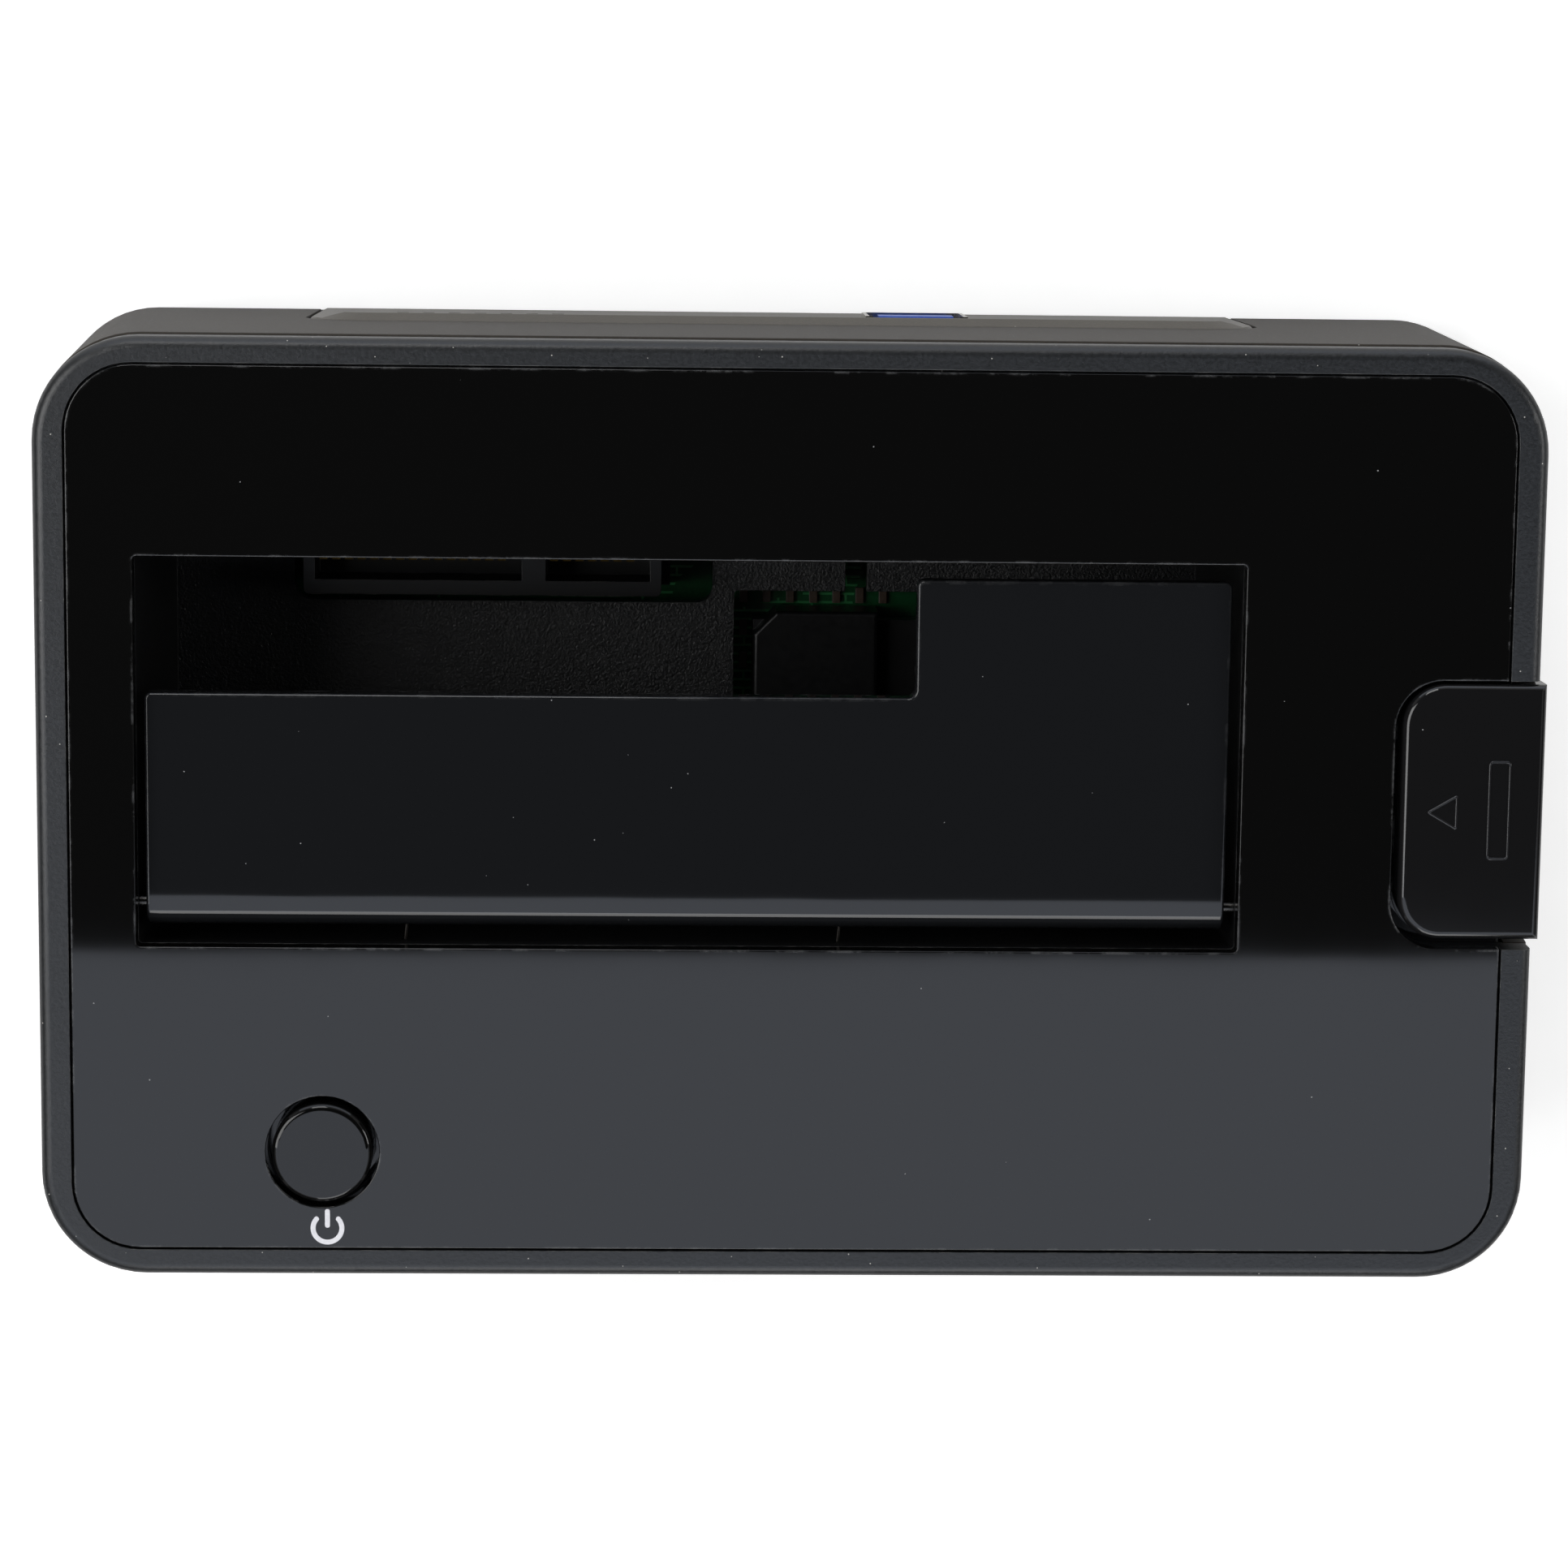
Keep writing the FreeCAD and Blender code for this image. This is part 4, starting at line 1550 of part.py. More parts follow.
def small_surface_parts():
    """Rows of small resistors and capacitors near the lifter opening."""
    parts = []
    for row in range(CHIP_PART_ROWS):
        for i in range(CHIP_PART_COUNT):
            x = CHIP_PART_ROW_X + (i - CHIP_PART_COUNT / 2) * CHIP_PART_PITCH
            y = CHIP_PART_ROW_Y - row * CHIP_PART_ROW_PITCH
            parts.append(box(
                x - CHIP_PART_WIDTH / 2, x + CHIP_PART_WIDTH / 2, y - CHIP_PART_LENGTH / 2,
                y + CHIP_PART_LENGTH / 2, BOARD_TOP_Z, BOARD_TOP_Z + CHIP_PART_HEIGHT,
            ))
    return Part.makeCompound(parts)


def header(x, y, z0, z1):
    """A plain wire-to-board header and its plug, as one block with round corners."""
    return rounded_box(
        x - HEADER_WIDTH / 2, x + HEADER_WIDTH / 2, y - HEADER_DEPTH / 2, y + HEADER_DEPTH / 2,
        z0, z1, SWITCH_BODY_CORNER_R,
    )


def switch_lead():
    """The flat ribbon from the switch board's header down to the main board's header.

    Its line lies in one upright plane: straight down, a bend, a slope, a bend back, straight down.
    """
    top = SWITCH_BOARD_BOTTOM_Z - HEADER_HEIGHT
    bottom = BOARD_TOP_Z + HEADER_HEIGHT
    corner_a = V(LEAD_X, LEAD_FRONT_Y, top - LEAD_STRAIGHT)
    corner_b = V(LEAD_X, LEAD_BACK_Y, bottom + LEAD_STRAIGHT)
    slope = (corner_b - corner_a).normalize()
    down = V(0, 0, -1)
    trim = LEAD_BEND_R * math.tan(down.getAngle(slope) / 2)
    start = V(LEAD_X, LEAD_FRONT_Y, top)
    end = V(LEAD_X, LEAD_BACK_Y, bottom)
    points = [
        corner_a - down * trim, corner_a + slope * trim,
        corner_b - slope * trim, corner_b + down * trim,
    ]
    middle_a = arc_middle(points[0], points[1], down)
    middle_b = arc_middle(points[2], points[3], slope)
    edges = [
        Part.LineSegment(start, points[0]).toShape(),
        Part.Arc(points[0], middle_a, points[1]).toShape(),
        Part.LineSegment(points[1], points[2]).toShape(),
        Part.Arc(points[2], middle_b, points[3]).toShape(),
        Part.LineSegment(points[3], end).toShape(),
    ]
    section = rounded_wire(
        LEAD_X - LEAD_WIDTH / 2, LEAD_X + LEAD_WIDTH / 2,
        LEAD_FRONT_Y - LEAD_THICKNESS / 2, LEAD_FRONT_Y + LEAD_THICKNESS / 2,
        top, (LEAD_THICKNESS - LEAD_FLAT) / 2,
    )
    return Part.Wire(edges).makePipeShell([section], True, False)


def screws(places, seat_z, bite):
    """Identical screws as one group."""
    return Part.makeCompound([screw(x, y, seat_z, bite) for x, y in places])


def board_screws():
    """The four screws that hold the main board, heads up."""
    group = []
    for x, y in board_post_places():
        one = screw(x, y, 0, SMALL_SCREW_BITE)
        one.rotate(V(x, y, 0), V(1, 0, 0), 180)
        one.translate(V(0, 0, BOARD_TOP_Z))
        group.append(one)
    return Part.makeCompound(group)


def spring_gap(radius, pitch, turns, wire_r, steps=72):
    """The least gap between a coil's turns, measured on points at least half a turn apart."""
    points = [helix_point(radius, pitch, 2 * math.pi * i / steps)[0] for i in range(steps * turns + 1)]
    far = steps // 2
    least = min(
        points[i].distanceToPoint(points[j])
        for i in range(len(points))
        for j in range(i + far, min(len(points), i + 2 * steps))
    )
    return least - 2 * wire_r


def all_parts():
    """Every node's name and solid."""
    parts = {
        "top_cover": top_cover(),
        "gloss_top_plate": gloss_top_plate(),
        "main_housing": main_housing(),
        "base_cover": base_cover(),
        "rear_port_panel": rear_port_panel(),
        "drive_bay": drive_bay(),
        "drive_flap": drive_flap(),
        "flap_hinge_pin": flap_hinge_pin(),
        "eject_button": eject_button(),
        "eject_return_spring": eject_return_spring(),
        "eject_lever": eject_lever(),
        "lever_pivot_pin": lever_pivot_pin(),
        "power_button": power_button(),
        "power_switch_body": power_switch_body(),
        "power_switch_plunger": power_switch_plunger(),
        "power_switch_board": power_switch_board(),
        "status_led": status_led(),
        "main_board": main_board(),
        "sata_receptacle": sata_receptacle(),
        "sata_contacts": sata_contacts(),
        "usb_port_shell": usb_port_shell(),
        "usb_port_insulator": usb_port_insulator(),
        "usb_contacts": usb_contacts(),
        "esata_port_shell": esata_port_shell(),
        "esata_port_insulator": esata_port_insulator(),
        "power_inlet": power_inlet(),
        "power_inlet_pin": power_inlet_pin(),
        "lock_plate": lock_plate(),
        "bridge_chip": bridge_chip(),
        "voltage_regulators": voltage_regulators(),
        "crystal": crystal(),
        "capacitors": capacitors(),
        "power_inductor": power_inductor(),
        "small_surface_parts": small_surface_parts(),
        "switch_board_header": header(
            LEAD_X, LEAD_FRONT_Y, SWITCH_BOARD_BOTTOM_Z - HEADER_HEIGHT, SWITCH_BOARD_BOTTOM_Z),
        "main_board_header": header(LEAD_X, LEAD_BACK_Y, BOARD_TOP_Z, BOARD_TOP_Z + HEADER_HEIGHT),
        "switch_lead": switch_lead(),
        "case_screws": screws(case_screw_places(), CASE_SCREW_SEAT_Z,
                              CASE_POST_TOP_Z - CASE_SCREW_SEAT_Z + CASE_SCREW_BITE),
        "bay_screws": screws(bay_screw_places(), EAR_BOTTOM_Z, SMALL_SCREW_BITE),
        "switch_board_screws": screws(switch_screw_places(), SWITCH_BOARD_BOTTOM_Z, SMALL_SCREW_BITE),
        "board_screws": board_screws(),
    }
    for side, x in zip(("left", "right"), flap_spring_places()):
        parts["flap_spring_" + side] = flap_spring(x)
    for (x, y), name in zip(foot_places(), ("front_left", "back_left", "front_right", "back_right")):
        parts["rubber_foot_" + name] = rubber_foot(x, y)
    return parts


def main():
    os.makedirs("parts", exist_ok=True)
    length = EJECT_FLANGE_BOTTOM_Z - SHELF_TOP_Z - 2 * (RETURN_SPRING_WIRE_R + RETURN_SPRING_SEAT_GAP)
    gap = spring_gap(RETURN_SPRING_R, length / RETURN_SPRING_TURNS, RETURN_SPRING_TURNS, RETURN_SPRING_WIRE_R)
    print(f"return spring: least gap to itself {gap:.2f} mm")
    gap = spring_gap(FLAP_SPRING_R, FLAP_SPRING_PITCH, FLAP_SPRING_TURNS, FLAP_SPRING_WIRE_R)
    print(f"flap springs: least gap to itself {gap:.2f} mm")
    for name, shape in all_parts().items():
        shape.exportStep(f"parts/{name}.step")
        print(f"{name}: {len(shape.Solids)} solid(s), {shape.Volume:.1f} mm3, valid {shape.isValid()}")


main()
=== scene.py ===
# %% [markdown]
# A docking station for bare hard drives.
# The CAD model gives every part its exact shape and place. Blender adds what CAD leaves out: how each
# surface was made, what stands round the object, and the fine printed and raised marks.
# Everything is in metres. X runs to the right, Y to the back and Z up, and the desk is at Z = 0.

import json
import math

import bmesh
import bpy
import numpy as np
from mathutils import Matrix, Vector


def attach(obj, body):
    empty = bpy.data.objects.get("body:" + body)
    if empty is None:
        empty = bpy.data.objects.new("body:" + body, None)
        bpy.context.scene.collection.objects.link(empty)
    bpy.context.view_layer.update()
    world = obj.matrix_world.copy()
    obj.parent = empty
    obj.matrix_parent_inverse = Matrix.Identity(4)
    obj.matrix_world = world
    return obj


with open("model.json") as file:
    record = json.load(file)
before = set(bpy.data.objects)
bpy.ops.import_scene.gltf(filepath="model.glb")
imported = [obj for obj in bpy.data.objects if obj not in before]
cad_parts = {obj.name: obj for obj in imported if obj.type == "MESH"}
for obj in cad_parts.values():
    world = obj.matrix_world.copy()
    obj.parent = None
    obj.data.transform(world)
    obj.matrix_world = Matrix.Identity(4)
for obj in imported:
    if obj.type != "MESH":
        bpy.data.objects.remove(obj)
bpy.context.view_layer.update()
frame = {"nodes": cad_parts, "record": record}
MM = 0.001

# %% [markdown]
# The camera looks down on the dock from almost straight above, tipped a little towards the back.
# A camera's own axes are columns of its matrix: X to its right, Y up its picture, Z back towards the
# viewer. Writing the three columns directly is clearer than three turning angles.

# %% Camera
CAMERA_AIM = Vector((-0.61, 3.18, 62.0)) * MM
CAMERA_DISTANCE = 404.3 * MM
CAMERA_PITCH = math.radians(8.675)
CAMERA_YAW = math.radians(1.816)
CAMERA_ROLL = math.radians(0.671)
CAMERA_LENS = 99.303
FRAME_WIDTH = 36.0
NEAREST_SEEN = 0.01


def camera_matrix(aim, distance, pitch, yaw, roll):
    """Back is the vertical tipped by pitch and turned by yaw. Roll turns level right about back."""
    back = Vector((
        -math.sin(yaw) * math.cos(pitch), math.sin(pitch), math.cos(yaw) * math.cos(pitch),
    )).normalized()
    level = Vector((0, 1, 0)).cross(back).normalized()
    upward = back.cross(level)
    right = level * math.cos(roll) + upward * math.sin(roll)
    up = upward * math.cos(roll) - level * math.sin(roll)
    turned = Matrix((right, up, back)).transposed().to_4x4()
    return Matrix.Translation(aim + back * distance) @ turned


camera_data = bpy.data.cameras.new("photo_camera")
camera_data.lens = CAMERA_LENS
camera_data.sensor_width = FRAME_WIDTH
camera_data.sensor_fit = "HORIZONTAL"
camera_data.clip_start = NEAREST_SEEN
camera = bpy.data.objects.new("photo_camera", camera_data)
camera.matrix_world = camera_matrix(
    CAMERA_AIM, CAMERA_DISTANCE, CAMERA_PITCH, CAMERA_YAW, CAMERA_ROLL,
)
bpy.context.scene.collection.objects.link(camera)
bpy.context.scene.camera = camera
print("camera at", [round(x, 4) for x in camera.location])

# %% [markdown]
# Colours are written as hex codes, as a paint chart gives them, and shaders want linear light.
# One function turns the first into the second. One more adds a node: a value fills a socket and
# another node's output is linked to it, so a whole material reads as a short list.

# %% Colour and node helpers
def tint(code):
    """Each channel c of an sRGB code: c / 12.92 if dark, otherwise ((c + 0.055) / 1.055) ** 2.4."""
    channels = [int(code[i:i + 2], 16) / 255 for i in (1, 3, 5)]
    return [c / 12.92 if c <= 0.04045 else ((c + 0.055) / 1.055) ** 2.4 for c in channels] + [1.0]


def add(tree, kind, inputs, **settings):
    """Adds one node. Settings are its own choices, inputs are values or other nodes' outputs."""
    node = tree.nodes.new("ShaderNode" + kind)
    for name, value in settings.items():
        setattr(node, name, value)
    for name, value in inputs.items():
        if isinstance(value, bpy.types.NodeSocket):
            tree.links.new(value, node.inputs[name])
        else:
            node.inputs[name].default_value = value
    return node


def blank(name):
    """An empty material, and the place of each point on the object, in metres."""
    made = bpy.data.materials.new(name)
    made.use_nodes = True
    made.node_tree.nodes.clear()
    places = add(made.node_tree, "TexCoord", {}).outputs["Object"]
    return made, made.node_tree, places


def per(size):
    """A pattern's scale for a repeat of that many millimetres."""
    return 1.0 / (size * MM)


def wave_per(size):
    """A Wave node's scale for ridges that many millimetres apart. At scale 1 it is 2 pi / 20."""
    return 2 * math.pi / 20 / (size * MM)


def blended(tree, factor, low, high):
    """A colour from low to high with the factor. Mix's colour sockets are 6 and 7, its output 2."""
    return add(tree, "Mix", {0: factor, 6: low, 7: high}, data_type="RGBA").outputs[2]


def ranged(tree, value, low, high):
    """A value from 0 to 1 spread between low and high."""
    return add(tree, "MapRange", {"Value": value, "To Min": low, "To Max": high}).outputs["Result"]


print("white is", tint("#FFFFFF"))

# %% [markdown]
# The dock stood in front of white, in a room that was dimmer than its lamps. So the world is plain
# white to the eye, gives a third of the plain light that a matt surface gets, and shows in mirrors as
# a grey room. The other two thirds come from the lamps: together a colour renders about as it is
# written.

# %% World
WORLD_SHARE = 0.34
ROOM_IN_MIRRORS = 0.32

world = bpy.data.worlds.new("white_studio")
world.use_nodes = True
bpy.context.scene.world = world
sky = world.node_tree
sky.nodes.clear()
rays = add(sky, "LightPath", {})
seen = add(sky, "Math", {
    0: rays.outputs["Is Camera Ray"], 1: rays.outputs["Is Transmission Ray"]}, operation="MAXIMUM")
hidden_strength = ranged(sky, rays.outputs["Is Glossy Ray"], WORLD_SHARE, ROOM_IN_MIRRORS)
sky_strength = ranged(sky, seen.outputs[0], hidden_strength, 1.0)
sky_light = add(sky, "Background", {"Color": tint("#FFFFFF"), "Strength": sky_strength})
add(sky, "OutputWorld", {"Surface": sky_light.outputs[0]})
bpy.context.scene.view_settings.view_transform = "Standard"
print("world share for matt surfaces:", WORLD_SHARE)

# %% [markdown]
# Every new mesh here is a sheet: a grid of points whose rows and columns are its two parameters.
# One function turns such a grid into a mesh. It can close the grid on itself along either parameter,
# which is how a flat grid becomes a ring or a tube.

# %% A grid of points as a mesh
def grid_faces(rows, columns, close_rows, close_columns):
    """Each face joins point (i, j) to its neighbours (i + 1, j), (i + 1, j + 1) and (i, j + 1)."""
    i = np.arange(rows if close_rows else rows - 1)[:, None]
    j = np.arange(columns if close_columns else columns - 1)[None, :]
    down = (i + 1) % rows
    along = (j + 1) % columns
    corners = (i * columns + j, down * columns + j, down * columns + along, i * columns + along)
    return np.stack(np.broadcast_arrays(*corners), axis=-1).reshape(-1, 4)


def sheet_object(name, points, close_rows=False, close_columns=False):
    """A mesh object from an array of points shaped (rows, columns, 3), in metres."""
    rows, columns = points.shape[:2]
    faces = grid_faces(rows, columns, close_rows, close_columns)
    mesh = bpy.data.meshes.new(name)
    mesh.from_pydata(points.reshape(-1, 3), [], faces)
    mesh.shade_smooth()
    made = bpy.data.objects.new(name, mesh)
    bpy.context.scene.collection.objects.link(made)
    print(f"{name}: {len(mesh.vertices)} points, {len(faces)} faces")
    return made


# %% [markdown]
# A gloss plate shows what hangs over it, so a studio photographer places cards above such a thing.
# Here a dark card hangs over the dock and a white one over the space in front of it. The line where
# they meet is mirrored in the plate just in front of the flap. Three low dark cards stand to the left,
# to the right and in front: round edges mirror them, and so turn dark just before the outline, where
# the white desk would otherwise wash them out. A bright card behind the dock lights the lip over the
# ports. All the cards are hidden from the camera and give no light to matt surfaces: only mirrors
# know of them. The floor is a wide white sheet.

# %% Floor and mirror cards
CARD_HEIGHT = 1.5
CARD_EDGE_Y = -0.291
CARD_REACH = 1.3
CARD_GLOW = 1.5
FLOOR_REACH = 3.0
FLOOR_LIFT = 0.42
LOW_CARDS = {
    # name: (one end of its foot, the other end, height), in metres
    "left_card": ((-0.95, -0.90), (-0.95, 0.60), 0.50),
    "right_card": ((0.95, -0.90), (0.95, 0.60), 0.50),
    "front_card": ((-0.90, -1.10), (0.90, -1.10), 0.50),
    "back_card": ((-0.90, 1.10), (0.90, 1.10), 0.60),
}


def flat_grid(x0, x1, y0, y1, z):
    """Four points of a level rectangle, as a grid of two rows and two columns."""
    x, y = np.meshgrid(np.array([x0, x1]), np.array([y0, y1]), indexing="ij")
    return np.stack([x, y, np.full_like(x, z)], axis=-1)


def upright_grid(start, end, top):
    """Four points of an upright rectangle that stands on the line from start to end."""
    x, z = np.meshgrid(np.array([start[0], end[0]]), np.array([0.0, top]), indexing="ij")
    y = np.meshgrid(np.array([start[1], end[1]]), np.array([0.0, top]), indexing="ij")[0]
    return np.stack([x, y, z], axis=-1)


def hide_from_all_but_mirrors(card):
    """Only glossy rays meet the card."""
    card.visible_camera = False
    card.visible_diffuse = False
    card.visible_transmission = False
    card.visible_shadow = False
    card.visible_volume_scatter = False


floor = sheet_object("floor", flat_grid(-FLOOR_REACH, FLOOR_REACH, -FLOOR_REACH, FLOOR_REACH, 0.0))
dark_card = sheet_object(
    "dark_card", flat_grid(-CARD_REACH, CARD_REACH, CARD_EDGE_Y, CARD_REACH, CARD_HEIGHT))
white_card = sheet_object(
    "white_card", flat_grid(-CARD_REACH, CARD_REACH, CARD_EDGE_Y - CARD_REACH, CARD_EDGE_Y, CARD_HEIGHT))
left_card, right_card, front_card, back_card = (
    sheet_object(name, upright_grid(*place)) for name, place in LOW_CARDS.items())
dark_cards = [dark_card, left_card, right_card, front_card]
bright_cards = [white_card, back_card]
for card in dark_cards + bright_cards:
    hide_from_all_but_mirrors(card)

# %% [markdown]
# The floor is matt paper with a faint fibre. To the camera it glows a little, so that it reads as white
# where lamps fall off, and from below it is clear, so that the dock's underside can be looked at. The
# cards only have to be dark or bright in a mirror, so each is a plain glow with or without strength.

# %% Paper and cards
paper, tree, places = blank("seamless_white_paper")
rays = add(tree, "LightPath", {})
fibre = add(tree, "TexNoise", {"Vector": places, "Scale": per(4.0), "Detail": 4.0})
white = blended(tree, fibre.outputs["Fac"], tint("#F4F4F4"), tint("#FAFAFA"))
sheet = add(tree, "BsdfDiffuse", {"Color": white})
lift_strength = ranged(tree, rays.outputs["Is Camera Ray"], 0.0, FLOOR_LIFT)
lift = add(tree, "Emission", {"Color": tint("#FFFFFF"), "Strength": lift_strength})
paper_sum = add(tree, "AddShader", {0: sheet.outputs[0], 1: lift.outputs[0]})
below = add(tree, "NewGeometry", {}).outputs["Backfacing"]
clear = add(tree, "BsdfTransparent", {})
one_sided = add(tree, "MixShader", {0: below, 1: paper_sum.outputs[0], 2: clear.outputs[0]})
add(tree, "OutputMaterial", {"Surface": one_sided.outputs[0]})
floor.data.materials.append(paper)

CARD_LOOKS = ((dark_cards, "black_velvet_card", 0.0), (bright_cards, "lit_white_card", CARD_GLOW))
for cards, name, strength in CARD_LOOKS:
    finish, tree, places = blank(name)
    glow = add(tree, "Emission", {"Color": tint("#EAF1FF"), "Strength": strength})
    add(tree, "OutputMaterial", {"Surface": glow.outputs[0]})
    for card in cards:
        card.data.materials.append(finish)

# %% [markdown]
# Four soft lamps stand well off the vertical, so the flat plate doesn't mirror them and only round
# edges catch them as thin bright lines. The left one is the largest, and leads the light. A lamp's
# power is chosen from the light that it should lay on the desk: a flat lamp of power P lights a spot
# at distance d with P times the two cosines over pi d squared.

# %% Lamps
LAMPS = {
    # name: (place in metres, side of the square, share of plain light on the desk)
    "left_soft_lamp": ((-0.75, 0.12, 0.95), 0.70, 0.36),
    "right_soft_lamp": ((0.90, 0.10, 0.60), 0.35, 0.10),
    "front_soft_lamp": ((0.05, -1.00, 0.75), 0.50, 0.10),
    "back_soft_lamp": ((-0.20, 0.95, 0.80), 0.40, 0.10),
}
for name, (place, side, share) in LAMPS.items():
    lamp_data = bpy.data.lights.new(name, "AREA")
    lamp_data.size = side
    place = Vector(place)
    distance = place.length
    slope = place.z / distance
    lamp_data.energy = share * math.pi * math.pi * distance ** 2 / slope
    lamp = bpy.data.objects.new(name, lamp_data)
    lamp.matrix_world = Matrix.Translation(place) @ place.to_track_quat("Z", "Y").to_matrix().to_4x4()
    bpy.context.scene.collection.objects.link(lamp)
    print(name, round(lamp_data.energy, 2), "W")

# %% [markdown]
# Most of the dock is ABS, moulded in a steel tool. Sparks had eaten the tool's walls into a fine
# grain, and the plastic copied it: on a smooth satin part the grain is tenths of a millimetre wide
# and hundredths deep. Noise of that width drives three things here: the bump, a little colour, and the
# roughness. Dust is a scatter of tiny pale dots, each a small ball round a random point that the
# surface happens to cut.

# A moulded edge is never quite sharp. The Bevel node turns the normal smoothly over every edge, so an
# edge catches light as a thin line. Where that turned normal leans away from the true one there is an
# edge, and there broken pale patches are painted into the colour: partly small nicks that handling
# leaves, partly a painted highlight that breaks the edge's line of light into glints.

# %% Edges and dust
MOULDED_EDGE = 0.12
POLISHED_EDGE = 0.10
POLISHED_NICK_AND_GLINT = 0.45


def turned_normal(tree, radius):
    """The normal, turned smoothly over every sharp edge as if the edge had that radius in mm."""
    return add(tree, "Bevel", {"Radius": radius * MM}, samples=6).outputs["Normal"]


# The pale patches on edges are partly nicks from handling and partly a painted highlight along the edge.
def nicks_and_glint(tree, places, radius, amount):
    """0 to 1 on an edge, in broken patches, as the turned normal m leaves the true one n: n.m drops."""
    true_normal = add(tree, "NewGeometry", {}).outputs["Normal"]
    turned = turned_normal(tree, radius)
    lean = add(tree, "VectorMath", {0: true_normal, 1: turned}, operation="DOT_PRODUCT")
    edge = add(tree, "MapRange", {"Value": lean.outputs["Value"], "From Min": 0.99, "From Max": 0.80})
    worn_and_glint = add(tree, "TexNoise", {
        "Vector": places, "Scale": per(3.2), "Detail": 6.0, "Roughness": 0.75})
    patch = add(tree, "MapRange", {"Value": worn_and_glint.outputs["Fac"], "From Min": 0.50, "From Max": 0.60})
    both = add(tree, "Math", {0: edge.outputs[0], 1: patch.outputs[0]}, operation="MULTIPLY")
    return add(tree, "Math", {0: both.outputs[0], 1: amount}, operation="MULTIPLY").outputs[0]


def dust(tree, places, spacing, size):
    """1 inside balls of that size (mm) round scattered points about spacing (mm) apart, otherwise 0."""
    cells = add(tree, "TexVoronoi", {"Vector": places, "Scale": per(spacing), "Randomness": 1.0})
    reach = size / 2 / spacing
    return add(tree, "Math", {0: cells.outputs["Distance"], 1: reach}, operation="LESS_THAN").outputs[0]


print("moulded edges turn over", MOULDED_EDGE, "mm and polished ones over", POLISHED_EDGE, "mm")

# %% [markdown]
# Each moulded part takes two shades, the width and depth of its grain, and a roughness. Most are ABS.
# Acetal, PBT, nylon, epoxy and ceramic parts come from a mould too, so the same recipe serves them all
# with their own numbers.

# %% Moulded plastic
def moulded(name, dark, light, grain, depth, roughness, dust_spacing=2.4, dust_size=0.13, wear_and_glint=0.3,
            bend=1.53):
    """ABS with a spark-eroded grain: grain is its width and depth its height, both in mm."""
    made, tree, places = blank(name)
    pits = add(tree, "TexNoise", {
        "Vector": places, "Scale": per(grain), "Detail": 3.0, "Roughness": 0.6, "Distortion": 0.4})
    cloud = add(tree, "TexNoise", {"Vector": places, "Scale": per(18.0), "Detail": 2.0})
    faint = ranged(tree, cloud.outputs["Fac"], 0.40, 0.60)
    mixed = add(tree, "Math", {0: pits.outputs["Fac"], 1: faint}, operation="MULTIPLY")
    shade = blended(tree, ranged(tree, mixed.outputs[0], -0.4, 1.9), tint(dark), tint(light))
    fluff = dust(tree, places, dust_spacing, dust_size)
    # Pale edge patches: partly wear, partly a painted highlight along the edge.
    worn_and_glint = blended(tree, nicks_and_glint(tree, places, MOULDED_EDGE, wear_and_glint), shade, tint("#8E8C88"))
    colour = blended(tree, fluff, worn_and_glint, tint("#A9A7A2"))
    rough = ranged(tree, pits.outputs["Fac"], roughness - 0.08, roughness + 0.08)
    relief = add(tree, "Bump", {
        "Height": pits.outputs["Fac"], "Distance": depth * MM,
        "Normal": turned_normal(tree, MOULDED_EDGE)})
    skin = add(tree, "BsdfPrincipled", {
        "Base Color": colour, "Roughness": rough, "IOR": bend, "Normal": relief.outputs["Normal"]})
    add(tree, "OutputMaterial", {"Surface": skin.outputs["BSDF"]})
    return made


finishes = {
    # The frame round the top: a blue-grey satin whose grain reads as a very fine speckle.
    "satin_cover": moulded(
        "satin_moulded_ABS_cover", "#0F1113", "#26292D", 0.35, 0.022, 0.38, 1.35, 0.13, wear_and_glint=0.45),
    # The side walls: the same tool finish, painted a shade warmer. The warmth is a painted reflection
    # of warm surroundings that the walls mirror at a grazing view.
    "housing_plastic": moulded(
        "satin_moulded_ABS_housing", "#231D14", "#3A3226", 0.35, 0.022, 0.54, 2.0, 0.13, bend=1.38),
    "base_plastic": moulded("satin_moulded_ABS_base", "#161616", "#262625", 0.45, 0.018, 0.55),
    "panel_plastic": moulded(
        "fine_moulded_ABS_port_panel", "#3A352B", "#5A5347", 0.30, 0.014, 0.38),
    # The tub's floor: a coarse grain that sparkles, because its pits face all ways.
    "bay_plastic": moulded(
        "coarse_moulded_ABS_tub", "#020203", "#18191B", 0.28, 0.140, 0.40, 5.0, 0.18),
    # The lever: acetal, a slippery plastic with a waxy gleam.
    "lever_plastic": moulded("moulded_acetal_lever", "#0B0B0C", "#161617", 0.60, 0.006, 0.34),
    "connector_black": moulded(
        "moulded_PBT_connector", "#030303", "#080808", 0.20, 0.004, 0.40, bend=1.40),
    "usb_blue": moulded("moulded_PBT_blue_tongue", "#2B55C2", "#4F7DE0", 0.20, 0.004, 0.36),
    "header_white": moulded("moulded_nylon_header", "#C9C6BB", "#E4E1D6", 0.30, 0.006, 0.45),
}
print(len(finishes), "moulded finishes")

# %% [markdown]
# The top plate and both buttons are polished. Their tool was lapped like a lens, so the plastic is
# nearly a mirror. Two things give it away as plastic: a very slow waviness where it shrank while
# it cooled, and dust, which shows on gloss black more than on anything else.

